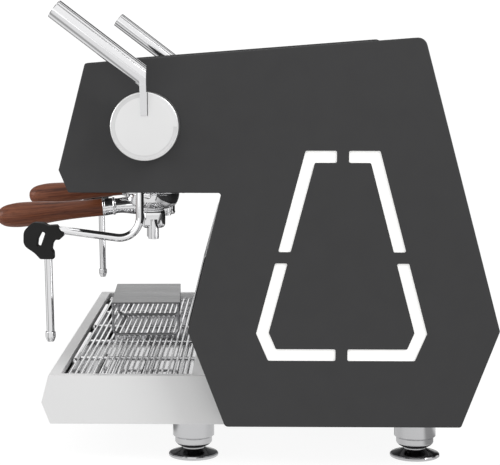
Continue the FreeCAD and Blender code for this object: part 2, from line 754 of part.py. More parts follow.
def wand_nut():
    return turned_z([
        (10, NUT_FOOT, 0.5), (WAND_NUT_R, NUT_FOOT, 1), (WAND_NUT_R, GROUP_TOP, 0),
        (4, GROUP_TOP, 0), (4, 366.5, 0), (11.3, 366.5, 0), (11.3, 349.2, 0), (10, 349.2, 0),
    ])


def spout_nut():
    return turned_z([
        (5, NUT_FOOT, 0), (TAP_NUT_R, NUT_FOOT, 1), (TAP_NUT_R, GROUP_TOP, 0), (3, GROUP_TOP, 0),
        (3, 366.3, 0), (8, 366.3, 0), (8, 349.7, 0), (5, 349.7, 0),
    ])


def wand_swivel():
    cup = turned_z([
        (7, 353.2, 0), (9.2, 349.5, 0), (11, 349.5, 0), (11, 366.2, 0), (3, 366.2, 0),
        (3, WAND_BALL_Z, 0), (7, WAND_BALL_Z, 0),
    ])
    return cup.cut(Part.makeSphere(WAND_BALL_R + 0.3, V(0, 0, WAND_BALL_Z)))


def steam_wand():
    tube = pipe(WAND_ROUTE, WAND_BENDS, WAND_R)
    ball = Part.makeSphere(WAND_BALL_R, V(0, 0, WAND_BALL_Z))
    bore = rod((0, 0, 350), (0, 0, 370), WAND_BORE_R)
    return fuse([tube, ball]).cut(bore)


def steam_tip():
    tip = turned_z([
        (0, 144, 0), (4.5, 144, 2), (6.75, 150, 3), (6.75, 157, 1), (5.2, 158, 0), (0, 158, 0),
    ])
    holes = []
    for i in range(4):
        a = math.pi / 4 + i * math.pi / 2
        x, y = math.cos(a), math.sin(a)
        holes.append(rod((x * 1.5, y * 1.5, 149), (x * 5.5, y * 5.5, 143), 0.7))
    return moved(tip.cut(holes), 0, TIP_Y)


def wand_grip():
    """Rubber finger guard moulded round the wand's outer bend, with a slanted slot through it."""
    body = prism_x([(y - WAND_Y, z, r) for y, z, r in GRIP_OUTLINE], -GRIP_HALF, GRIP_HALF)
    reach = GRIP_HALF + MARGIN
    hole = prism_x([(y - WAND_Y, z, r) for y, z, r in GRIP_SLOT], -reach, reach)
    return body.cut([hole, pipe(WAND_ROUTE, WAND_BENDS, WAND_R)])


def at_wand(shape, side, rest_turn=0.0):
    return moved(turned(shape, (0, 0, 0), (0, 0, 1), rest_turn), side * WAND_X, WAND_Y)


def hot_water_spout():
    return moved(turned_z([
        (2.5, 285.6, 0.5), (4.5, 285.6, 2), (4.5, 350, 0), (7.7, 350, 0), (7.7, 366, 0), (2.5, 366, 0),
    ]), 0, TAP_Y)


# ---------------------------------------------------------------- controls

def key_places():
    return [side * GROUP_X + i * KEY_PITCH for side in (1, -1) for i in (-1, 0, 1)]


def push_key():
    return turned_z([
        (0, -5.2, 0), (10.5, -5.2, 0), (10.5, -3.9, 0), (KEY_R, -3.9, 0), (KEY_R, 5.5, 1.2),
        (0, 5.5, 0),
    ])


def control_bezels():
    keypad = prism_z([(-54, -17, 16), (54, -17, 16), (54, 17, 16), (-54, 17, 16)], 0, 3)
    hole_r = KEY_R + 0.4
    places = [i * KEY_PITCH for i in (-1, 0, 1)]
    keypad = keypad.cut([rod((x, 0, -1), (x, 0, 4), hole_r) for x in places])
    ring = turned_z([(hole_r, 0, 0), (14, 0, 0), (14, 3, 1), (hole_r, 3, 0)])
    frame = rounded_box(-14, 14, -19, 19, 0, 3, 3).cut(box(-10.5, 10.5, -15.5, 15.5, -1, 4))
    return [
        on_fascia(keypad, GROUP_X, KEY_DROP),
        on_fascia(keypad, -GROUP_X, KEY_DROP),
        on_fascia(ring, 0, HOT_KEY_DROP),
        on_fascia(frame, SWITCH_X, KEY_DROP),
    ]


def gauge_case():
    cup = turned_z([
        (0, -24, 0), (GAUGE_R, -24, 3), (GAUGE_R, 0, 0), (31.5, 0, 0), (31.5, 4, 1.5), (27, 4, 0),
        (27, -3, 0), (0, -3, 0),
    ])
    pin = rod((0, 0, -4), (0, 0, 0.5), 1.0)
    return on_fascia(fuse([cup, pin]), 0, GAUGE_DROP)


def gauge_needle():
    """Drawn at the zero end of the scale, low on the left."""
    hub = rod((0, 0, -1.6), (0, 0, 0.6), 3.0)
    arm = prism_z([(-1.5, -8, 0.5), (1.5, -8, 0.5), (0.5, 21, 0.2), (-0.5, 21, 0.2)], -0.9, -0.1)
    needle = fuse([hub, arm]).cut(rod((0, 0, -3), (0, 0, 2), 1.0 + RUNNING))
    return on_fascia(turned(needle, (0, 0, 0), (0, 0, 1), 130), 0, GAUGE_DROP)


def power_switch():
    rocker = prism_x([(-14, -5, 1), (14, -5, 1), (14, 3, 1), (0, 1.5, 20), (-14, 3, 1)], -9.6, 9.6)
    return on_fascia(turned(rocker, (0, 0, -3), (1, 0, 0), SWITCH_TILT), SWITCH_X, KEY_DROP)


# ---------------------------------------------------------------- water circuit

def group_beam():
    x = WALL_IN
    w = 2.5
    y0, y1 = BEAM_Y
    z0, z1 = BEAM_Z
    bar = box(-x, x, y0, y1, z0, z1).cut(box(-x - 1, x + 1, y0 + w, y1 - w, z0 + w, z1 - w))
    places = [(0, TAP_Y)]
    for s in (-1, 1):
        places += [(s * GROUP_X, GROUP_Y), (s * WAND_X, WAND_Y)]
    return bar.cut([rod((px, py, z0 - 1), (px, py, z1 + 1), 6.5) for px, py in places])


def boiler():
    def shell(x, r, corner):
        return turned_x([(-x, 0, 0), (-x, r, corner), (x, r, corner), (x, 0, 0)], BOILER_Y, BOILER_Z)

    w = 2.0
    port = rod((BOILER_X - 9, BOILER_Y, BOILER_Z), (BOILER_X + 9, BOILER_Y, BOILER_Z), 32)
    return shell(BOILER_X, BOILER_R, 28).cut([shell(BOILER_X - w, BOILER_R - w, 26), port])


def boiler_envelope(x0=-BOILER_X, x1=BOILER_X):
    return rod((x0, BOILER_Y, BOILER_Z), (x1, BOILER_Y, BOILER_Z), BOILER_R)


def heating_element():
    flange = rod((BOILER_X, BOILER_Y, BOILER_Z), (BOILER_X + 8, BOILER_Y, BOILER_Z), 42)
    pieces = [flange]
    for y in (BOILER_Y - 15, BOILER_Y + 15):
        z0, z1 = BOILER_Z - 14, BOILER_Z + 14
        x0, x1 = -140, BOILER_X + 18
        points = [(x1, y, z1), (x0, y, z1), (x0, y, z0), (x1, y, z0)]
        pieces.append(pipe(points, [13.5, 13.5], 4.0))
    return fuse(pieces)


def boiler_cradle(side):
    x = side * 150
    plate = box(x - 1.5, x + 1.5, 65, 172, BASE_Z, 362)
    foot = box(x - 20, x + 20, 65, 172, BASE_Z, BASE_Z + 3)
    window = prism_x([(85, 90, 8), (152, 90, 8), (152, 290, 8), (85, 290, 8)], x - 5, x + 5)
    return fuse([plate, foot]).cut([boiler_envelope(x - 30, x + 30), window])


def boiler_pipes():
    front = BOILER_Y - BOILER_R + 1.2
    top = GROUP_TOP
    pipes = []
    for s in (-1, 1):
        steam_in = [
            (s * 170, front, BOILER_Z), (s * 170, -30, BOILER_Z), (s * 300, -60, VALVE_Z),
            (s * 300, VALVE_Y + 14.5, VALVE_Z),
        ]
        pipes.append(pipe(steam_in, [18, 18], 5.0))
        steam_out = [
            (s * WAND_X, VALVE_Y, VALVE_Z - 14.8), (s * WAND_X, VALVE_Y, 409),
            (s * WAND_X, WAND_Y, 400), (s * WAND_X, WAND_Y, top),
        ]
        pipes.append(pipe(steam_out, [5, 5], 4.0))
        water = [
            (s * 120, front, 404), (s * 120, -40, 404), (s * GROUP_X, -60, 424),
            (s * GROUP_X, GROUP_Y, 424), (s * GROUP_X, GROUP_Y, top),
        ]
        pipes.append(pipe(water, [14, 14, 18], 5.0))
    pipes.append(pipe([(0, front, 400), (0, TAP_Y, 400), (0, TAP_Y, top)], [10], 4.0))
    return [p.cut([boiler_envelope(), steam_valve(), mirrored(steam_valve())]) for p in pipes]


def safety_valve():
    foot = BOILER_Z + BOILER_R
    outline = [
        (0, -1, 0), (9, -1, 0), (9, 6, 0), (12, 6, 1), (12, 15, 1), (7, 15, 0), (7, 22, 1), (0, 22, 0),
    ]
    valve = turned_z([(r, foot + z, corner) for r, z, corner in outline], -100, BOILER_Y)
    return valve.cut(boiler_envelope())


def solenoid_valve(side):
    x = side * 105
    z = BEAM_Z[1]
    base = box(x - 17, x + 17, GROUP_Y - 17, GROUP_Y + 17, z, z + 22)
    coil = rod((x, GROUP_Y, z + 22), (x, GROUP_Y, z + 56), 17)
    stem = rod((x, GROUP_Y, z + 56), (x, GROUP_Y, z + 62), 5)
    return fuse([base, coil, stem])


def pump_motor():
    can = turned_x([(-70, 0, 0), (-70, 55, 8), (70, 55, 8), (70, 0, 0)], MOTOR_Y, MOTOR_Z)
    feet = box(-45, 45, MOTOR_Y - 38, MOTOR_Y + 38, BASE_Z, 82)
    bore = rod((58, MOTOR_Y, MOTOR_Z), (71, MOTOR_Y, MOTOR_Z), SHAFT_R + RUNNING)
    return fuse([can, feet]).cut(bore)


def pump_head():
    outline = [(88, 0, 0), (88, 36, 0), (94, 36, 0), (94, 28, 0), (150, 28, 3), (150, 0, 0)]
    head = turned_x(outline, MOTOR_Y, MOTOR_Z)
    cage = turned_x([(70, 31, 0), (70, 36, 0), (88, 36, 0), (88, 31, 0)], MOTOR_Y, MOTOR_Z)
    windows = box(73, 85, MOTOR_Y - 18, MOTOR_Y + 18, MOTOR_Z - 50, MOTOR_Z + 50)
    bore = rod((87, MOTOR_Y, MOTOR_Z), (114, MOTOR_Y, MOTOR_Z), SHAFT_R + RUNNING)
    return fuse([head, cage.cut(windows)]).cut(bore)


def pump_shaft():
    shaft = rod((60, MOTOR_Y, MOTOR_Z), (112, MOTOR_Y, MOTOR_Z), SHAFT_R)
    coupler = rod((74, MOTOR_Y, MOTOR_Z), (84, MOTOR_Y, MOTOR_Z), 11)
    flat = box(73, 85, MOTOR_Y - 20, MOTOR_Y + 20, MOTOR_Z + 9, MOTOR_Z + 20)
    return fuse([shaft, coupler]).cut(flat)


def control_box():
    case = rounded_box(-292, -192, 145, 240, BASE_Z, 203, 4)
    lid = rounded_box(-294, -190, 143, 242, 203, 207, 5)
    return fuse([case, lid])


# ---------------------------------------------------------------- writing the parts

def save_both(name, shape):
    save(f"{name}_right", shape)
    save(f"{name}_left", mirrored(shape))


def main():
    os.makedirs("parts", exist_ok=True)

    panel = side_panel()
    diffuser = light_diffuser()
    wall = side_wall()
    save("side_panels", panel, mirrored(panel))
    save("light_diffusers", diffuser, mirrored(diffuser))
    save("side_walls", wall, mirrored(wall))
    save("front_fascia", front_fascia())
    save("head_floor", head_floor())
    save("splash_panel", splash_panel())
    save("cup_tray", cup_tray())
    save("rear_cover", rear_cover())
    save("cover_screws", *cover_screws())

    save("base_frame", *base_frame())
    save("bottom_pan", bottom_pan())
    foot = levelling_foot()
    save("levelling_feet", *[moved(foot, x, y) for x in (-FOOT_X, FOOT_X) for y in FOOT_Y])

    save("drip_tray_frame", drip_tray_frame())
    save("drip_pan", drip_pan())
    save("drip_grille", drip_grille())
    save("cup_stand", cup_stand())

    sides = {"right": 1, "left": -1}
    save("group_heads", *[at_group(group_head(), s, locked=False) for s in sides.values()])
    save("group_gaskets", *[at_group(group_gasket(), s) for s in sides.values()])
    save("shower_screens", *[at_group(shower_screen(), s) for s in sides.values()])
    for name, s in sides.items():
        save(f"portafilter_{name}", at_group(portafilter_body(), s))
        save(f"filter_basket_{name}", at_group(filter_basket(), s))
        save(f"portafilter_handle_{name}", at_group(portafilter_handle(), s))

    save_both("valve_disc", valve_disc())
    save_both("steam_lever", steam_lever())
    save("steam_valves", steam_valve(), mirrored(steam_valve()))
    nuts = [moved(wand_nut(), s * WAND_X, WAND_Y) for s in sides.values()]
    save("swivel_nuts", *nuts, moved(spout_nut(), 0, TAP_Y))
    for name, s in sides.items():
        turn = WAND_TURN_LEFT if s < 0 else 0.0
        save(f"wand_swivel_{name}", at_wand(wand_swivel(), s))
        save(f"steam_wand_{name}", at_wand(steam_wand(), s, turn), at_wand(steam_tip(), s, turn))
        save(f"wand_grip_{name}", at_wand(wand_grip(), s, turn))
    save("hot_water_spout", hot_water_spout())

    save("control_bezels", *control_bezels())
    for i, x in enumerate(key_places()):
        side = "right" if x > 0 else "left"
        save(f"brew_button_{side}_{i % 3 + 1}", on_fascia(push_key(), x, KEY_DROP))
    save("hot_water_button", on_fascia(push_key(), 0, HOT_KEY_DROP))
    save("gauge_case", gauge_case())
    save("gauge_needle", gauge_needle())
    save("power_switch", power_switch())

    save("group_beam", group_beam())
    save("boiler", boiler())
    save("heating_element", heating_element())
    save("boiler_cradle", boiler_cradle(1), boiler_cradle(-1))
    save("boiler_pipes", *boiler_pipes())
    save("safety_valve", safety_valve())
    save("solenoid_valves", solenoid_valve(1), solenoid_valve(-1))
    save("pump_motor", pump_motor())
    save("pump_head", pump_head())
    save("pump_shaft", pump_shaft())
    save("control_box", control_box())


main()
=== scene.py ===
import math

import bmesh
import bpy
from mathutils import Matrix, Vector


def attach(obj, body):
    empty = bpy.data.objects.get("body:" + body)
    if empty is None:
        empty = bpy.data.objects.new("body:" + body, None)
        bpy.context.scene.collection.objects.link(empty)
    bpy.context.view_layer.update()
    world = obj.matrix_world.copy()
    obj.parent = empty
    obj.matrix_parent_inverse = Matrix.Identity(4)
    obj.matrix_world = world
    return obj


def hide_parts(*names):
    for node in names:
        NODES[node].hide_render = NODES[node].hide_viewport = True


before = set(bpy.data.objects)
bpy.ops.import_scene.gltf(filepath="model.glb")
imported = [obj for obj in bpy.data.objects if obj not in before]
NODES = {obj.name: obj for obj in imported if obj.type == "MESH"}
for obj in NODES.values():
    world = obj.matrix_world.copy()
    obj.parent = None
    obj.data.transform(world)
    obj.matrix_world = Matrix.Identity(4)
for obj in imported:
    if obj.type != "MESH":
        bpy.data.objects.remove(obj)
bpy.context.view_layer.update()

# ---------------------------------------------------------------- camera

CAMERA_PLACE = Vector((2.42926, 0.03094, 0.53713))
CAMERA_YAW = -0.00649      # radians from looking along -X
CAMERA_PITCH = 0.09916     # downward
CAMERA_ROLL = 0.00256
CAMERA_SHIFT_Y = -0.05
FOCAL_PX = 1642.23         # focal length in widths of one image point
FRAME_PX = 500
SENSOR = 36.0


def make_camera():
    data = bpy.data.cameras.new("camera")
    data.sensor_width = SENSOR
    data.lens = FOCAL_PX / FRAME_PX * SENSOR
    data.shift_y = CAMERA_SHIFT_Y
    data.clip_start = 0.05
    data.clip_end = 100.0
    camera = bpy.data.objects.new("camera", data)
    bpy.context.scene.collection.objects.link(camera)
    cp, sp = math.cos(CAMERA_PITCH), math.sin(CAMERA_PITCH)
    cy, sy = math.cos(CAMERA_YAW), math.sin(CAMERA_YAW)
    forward = Vector((-cp * cy, cp * sy, -sp))
    right = Vector((sy, cy, 0.0))
    up = right.cross(forward)
    cr, sr = math.cos(CAMERA_ROLL), math.sin(CAMERA_ROLL)
    right, up = right * cr + up * sr, up * cr - right * sr
    turn = Matrix((right, up, -forward)).transposed().to_4x4()
    camera.matrix_world = Matrix.Translation(CAMERA_PLACE) @ turn
    bpy.context.scene.camera = camera


# ---------------------------------------------------------------- studio

BACKDROP = 1.05            # the world as the camera sees it
AMBIENT = 0.80             # the world as diffuse light
CEILING = (0.80, 0.95)     # heights of a direction between which the light ceiling starts
FLOOR_GLOW = 0.90          # what the floor adds for the camera
FLOOR_BOUNCE = 0.42        # and as diffuse light
FLOOR_MIRRORED = 0.65      # share of the walls' brightness that it has in reflections
FLOOR_WHITE = 0.16
FLOOR_REACH = 40.0
STUDIO_WALLS = [           # share of a half turn away from +X, brightness in reflections
    (0.00, 1.00), (0.20, 1.00), (0.24, 0.30), (0.30, 0.30), (0.34, 1.00), (0.53, 1.00),
    (0.56, 0.05), (0.66, 0.05), (0.69, 0.95), (0.75, 0.95), (0.78, 0.05), (0.90, 0.05), (0.94, 0.95),
    (1.00, 0.95),
]


def math_node(tree, kind, a, b=None):
    node = tree.nodes.new("ShaderNodeMath")
    node.operation = kind
    for i, value in enumerate((a, b)):
        if value is None:
            continue
        if isinstance(value, (int, float)):
            node.inputs[i].default_value = value
        else:
            tree.links.new(value, node.inputs[i])
    return node.outputs[0]


def studio_walls(tree, direction):
    """Brightness of the light walls and the dark gaps between them, by compass direction."""
    split = tree.nodes.new("ShaderNodeSeparateXYZ")
    tree.links.new(direction, split.inputs[0])
    turn = math_node(tree, "ARCTAN2", split.outputs["Y"], split.outputs["X"])
    share = math_node(tree, "DIVIDE", math_node(tree, "ABSOLUTE", turn), math.pi)
    ramp = tree.nodes.new("ShaderNodeValToRGB")
    band = ramp.color_ramp
    band.interpolation = "EASE"
    band.elements[0].color = (*(STUDIO_WALLS[0][1],) * 3, 1.0)
    band.elements[1].color = (*(STUDIO_WALLS[-1][1],) * 3, 1.0)
    for position, level in STUDIO_WALLS[1:-1]:
        band.elements.new(position).color = (level, level, level, 1.0)
    tree.links.new(share, ramp.inputs["Fac"])
    return ramp.outputs["Color"], split.outputs["Z"]


def background(tree, strength):
    node = tree.nodes.new("ShaderNodeBackground")
    node.inputs["Color"].default_value = (1.0, 1.0, 1.0, 1.0)
    if isinstance(strength, float):
        node.inputs["Strength"].default_value = strength
    else:
        tree.links.new(strength, node.inputs["Strength"])
    return node.outputs[0]


def chosen(tree, test, no, yes):
    mix = tree.nodes.new("ShaderNodeMixShader")
    tree.links.new(test, mix.inputs[0])
    tree.links.new(no, mix.inputs[1])
    tree.links.new(yes, mix.inputs[2])
    return mix.outputs[0]


def make_world():
    """White studio with dark gaps between its light walls, which only glossy surfaces show.

    The camera, diffuse light and reflections each see their own brightness of it."""
    world = bpy.data.worlds.new("studio")
    bpy.context.scene.world = world
    world.use_nodes = True
    tree = world.node_tree
    tree.nodes.clear()
    coords = tree.nodes.new("ShaderNodeTexCoord")
    walls, height = studio_walls(tree, coords.outputs["Generated"])
    ceiling = tree.nodes.new("ShaderNodeMapRange")
    ceiling.interpolation_type = "SMOOTHSTEP"
    ceiling.inputs["From Min"].default_value = CEILING[0]
    ceiling.inputs["From Max"].default_value = CEILING[1]
    tree.links.new(height, ceiling.inputs["Value"])
    level = math_node(tree, "MAXIMUM", walls, ceiling.outputs[0])
    path = tree.nodes.new("ShaderNodeLightPath")
    unseen = chosen(tree, path.outputs["Is Glossy Ray"], background(tree, AMBIENT), background(tree, level))
    shown = chosen(tree, path.outputs["Is Camera Ray"], unseen, background(tree, BACKDROP))
    out = tree.nodes.new("ShaderNodeOutputWorld")
    tree.links.new(shown, out.inputs[0])


def area_light(name, place, target, size, power):
    data = bpy.data.lights.new(name, "AREA")
    data.shape = "RECTANGLE"
    data.size, data.size_y = size
    data.energy = power
    light = bpy.data.objects.new(name, data)
    bpy.context.scene.collection.objects.link(light)
    light.location = place
    light.rotation_euler = (Vector(target) - Vector(place)).to_track_quat("-Z", "Y").to_euler()


LIGHTS = {                 # place, target, size, watts
    "key": ((2.0, 2.4, 2.4), (0, 0, 0.3), (1.5, 1.5), 60),
    "side_fill": ((2.5, -1.4, 0.5), (0.45, -0.15, 0.1), (1.8, 0.9), 3),
    "front_fill": ((0.9, -2.6, 1.2), (0, -0.15, 0.2), (1.6, 1.6), 22),
}


def make_floor():
    """Plain pale floor, which also has its own brightness for each kind of ray."""
    mesh = bpy.data.meshes.new("studio_floor")
    corners = [(x * FLOOR_REACH, y * FLOOR_REACH, 0) for x, y in ((-1, -1), (1, -1), (1, 1), (-1, 1))]
    mesh.from_pydata(corners, [], [(0, 1, 2, 3)])
    floor = bpy.data.objects.new("studio_floor", mesh)
    bpy.context.scene.collection.objects.link(floor)
    paper = finish("floor_paper", (FLOOR_WHITE,) * 3, 0.8, tint=(2.0, 0.01), bump=(900.0, 0.00001),
                   Specular_IOR_Level=0.0, Emission_Color=(1.0, 1.0, 1.0, 1.0))
    tree = paper.node_tree
    path = tree.nodes.new("ShaderNodeLightPath")
    coords = tree.nodes.new("ShaderNodeTexCoord")
    walls, _ = studio_walls(tree, coords.outputs["Object"])
    seen = math_node(tree, "MULTIPLY", path.outputs["Is Camera Ray"], FLOOR_GLOW)
    bounced = math_node(tree, "MULTIPLY", path.outputs["Is Diffuse Ray"], FLOOR_BOUNCE)
    dimmed = math_node(tree, "MULTIPLY", walls, FLOOR_MIRRORED)
    mirrored = math_node(tree, "MULTIPLY", path.outputs["Is Glossy Ray"], dimmed)
    glow = math_node(tree, "ADD", seen, math_node(tree, "ADD", bounced, mirrored))
    tree.links.new(glow, tree.nodes["Principled BSDF"].inputs["Emission Strength"])
    floor.data.materials.append(paper)


# ---------------------------------------------------------------- materials

def finish(name, colour, roughness, metal=0.0, tint=(4.0, 0.05), rough_spread=(30.0, 0.05),
           bump=(900.0, 0.00002), stretch=(1, 1, 1), **sockets):
    """Principled material with uneven colour, uneven roughness and a fine surface texture.

    tint, rough_spread and bump are each (scale per metre, strength), and stretch multiplies
    the texture's scale along the object's axes."""
    mat = bpy.data.materials.new(name)
    mat.use_nodes = True
    tree = mat.node_tree
    new, link = tree.nodes.new, tree.links.new
    shader = tree.nodes["Principled BSDF"]
    shader.inputs["Metallic"].default_value = metal
    for socket, value in sockets.items():
        shader.inputs[socket.replace("_", " ")].default_value = value
    coords = new("ShaderNodeTexCoord")
    mapping = new("ShaderNodeMapping")
    mapping.inputs["Scale"].default_value = stretch
    link(coords.outputs["Object"], mapping.inputs["Vector"])

    def noise(scale, detail, source):
        node = new("ShaderNodeTexNoise")
        node.inputs["Scale"].default_value = scale
        node.inputs["Detail"].default_value = detail
        link(source, node.inputs["Vector"])
        return node.outputs["Fac"]

    def spread(source, low, high):
        node = new("ShaderNodeMapRange")
        node.inputs["From Min"].default_value = 0.3
        node.inputs["From Max"].default_value = 0.7
        node.inputs["To Min"].default_value = low
        node.inputs["To Max"].default_value = high
        link(source, node.inputs["Value"])
        return node.outputs[0]

    mix = new("ShaderNodeMix")
    mix.data_type = "RGBA"
    mix.blend_type = "MULTIPLY"
    mix.inputs["Factor"].default_value = 1.0
    mix.inputs["A"].default_value = (*colour, 1.0)
    shade = spread(noise(tint[0], 3.0, coords.outputs["Object"]), 1.0 - tint[1], 1.0 + tint[1])
    link(shade, mix.inputs["B"])
    link(mix.outputs["Result"], shader.inputs["Base Color"])
    low, high = roughness - rough_spread[1], roughness + rough_spread[1]
    link(spread(noise(rough_spread[0], 4.0, mapping.outputs[0]), low, high), shader.inputs["Roughness"])
    relief = new("ShaderNodeBump")
    relief.inputs["Strength"].default_value = 0.6
    relief.inputs["Distance"].default_value = bump[1]
    link(noise(bump[0], 2.0, mapping.outputs[0]), relief.inputs["Height"])
    link(relief.outputs[0], shader.inputs["Normal"])
    return mat


def wood(name):
    """Oiled walnut with its grain along the handles."""
    mat = bpy.data.materials.new(name)
    mat.use_nodes = True
    tree = mat.node_tree
    new, link = tree.nodes.new, tree.links.new
    shader = tree.nodes["Principled BSDF"]
    shader.inputs["Coat Weight"].default_value = 0.20
    shader.inputs["Coat Roughness"].default_value = 0.25
    shader.inputs["Specular IOR Level"].default_value = 0.3
    coords = new("ShaderNodeTexCoord")
    lengthwise = new("ShaderNodeMapping")
    lengthwise.inputs["Rotation"].default_value = handle_frame("right").inverted().to_euler()
    link(coords.outputs["Object"], lengthwise.inputs["Vector"])

    def grain(scale, detail, distortion, rough=0.5):
        mapping = new("ShaderNodeMapping")
        mapping.inputs["Scale"].default_value = scale
        link(lengthwise.outputs[0], mapping.inputs["Vector"])
        node = new("ShaderNodeTexNoise")
        node.inputs["Scale"].default_value = 1.0
        node.inputs["Detail"].default_value = detail
        node.inputs["Roughness"].default_value = rough
        node.inputs["Distortion"].default_value = distortion
        link(mapping.outputs[0], node.inputs["Vector"])
        return node.outputs["Fac"]

    def ramp(source, stops):
        node = new("ShaderNodeValToRGB")
        band = node.color_ramp
        band.elements[0].position = stops[0][0]
        band.elements[0].color = (*stops[0][1], 1.0)
        band.elements[1].position = stops[-1][0]
        band.elements[1].color = (*stops[-1][1], 1.0)
        for position, colour in stops[1:-1]:
            band.elements.new(position).color = (*colour, 1.0)
        link(source, node.inputs["Fac"])
        return node.outputs["Color"]

    bands = grain((7.0, 60.0, 260.0), 4.0, 0.8)
    figure = ramp(bands, [
        (0.30, (0.080, 0.021, 0.008)), (0.45, (0.165, 0.044, 0.017)),
        (0.56, (0.235, 0.073, 0.030)), (0.70, (0.150, 0.038, 0.014)),
    ])
    pores = grain((35.0, 900.0, 1500.0), 2.0, 0.0)
    pore_tone = ramp(pores, [(0.36, (0.55, 0.50, 0.48)), (0.48, (1.0, 1.0, 1.0))])
    mix = new("ShaderNodeMix")
    mix.data_type = "RGBA"
    mix.blend_type = "MULTIPLY"
    mix.inputs["Factor"].default_value = 0.7
    link(figure, mix.inputs["A"])
    link(pore_tone, mix.inputs["B"])
    link(mix.outputs["Result"], shader.inputs["Base Color"])
    rough = ramp(pores, [(0.35, (0.60,) * 3), (0.55, (0.42,) * 3)])
    link(rough, shader.inputs["Roughness"])
    relief = new("ShaderNodeBump")
    relief.inputs["Strength"].default_value = 0.5
    relief.inputs["Distance"].default_value = 0.00006
    link(pores, relief.inputs["Height"])
    link(relief.outputs[0], shader.inputs["Normal"])
    return mat


def banded(mat, z0, z1, colour):
    """Gives the material another colour between two heights of its object."""
    tree = mat.node_tree
    shader = tree.nodes["Principled BSDF"]
    coords = tree.nodes.new("ShaderNodeTexCoord")
    split = tree.nodes.new("ShaderNodeSeparateXYZ")
    tree.links.new(coords.outputs["Object"], split.inputs[0])
    inside = math_node(tree, "MULTIPLY", math_node(tree, "GREATER_THAN", split.outputs["Z"], z0),
                       math_node(tree, "LESS_THAN", split.outputs["Z"], z1))
    mix = tree.nodes.new("ShaderNodeMix")
    mix.data_type = "RGBA"
    tree.links.new(inside, mix.inputs["Factor"])
    tree.links.new(shader.inputs["Base Color"].links[0].from_socket, mix.inputs["A"])
    mix.inputs["B"].default_value = (*colour, 1.0)
    tree.links.new(mix.outputs["Result"], shader.inputs["Base Color"])
    return mat


PLATE_FOOT = 0.1578        # the cup stand is a grey plate above this and bright wire below
PAINTED_REFLECTION_DISC_TOP = (0.0046, 0.0112)   # heights of the sloping top of each foot's base disc, painted near-black as a painted reflection of the shaded underside above it
MATERIALS = {}


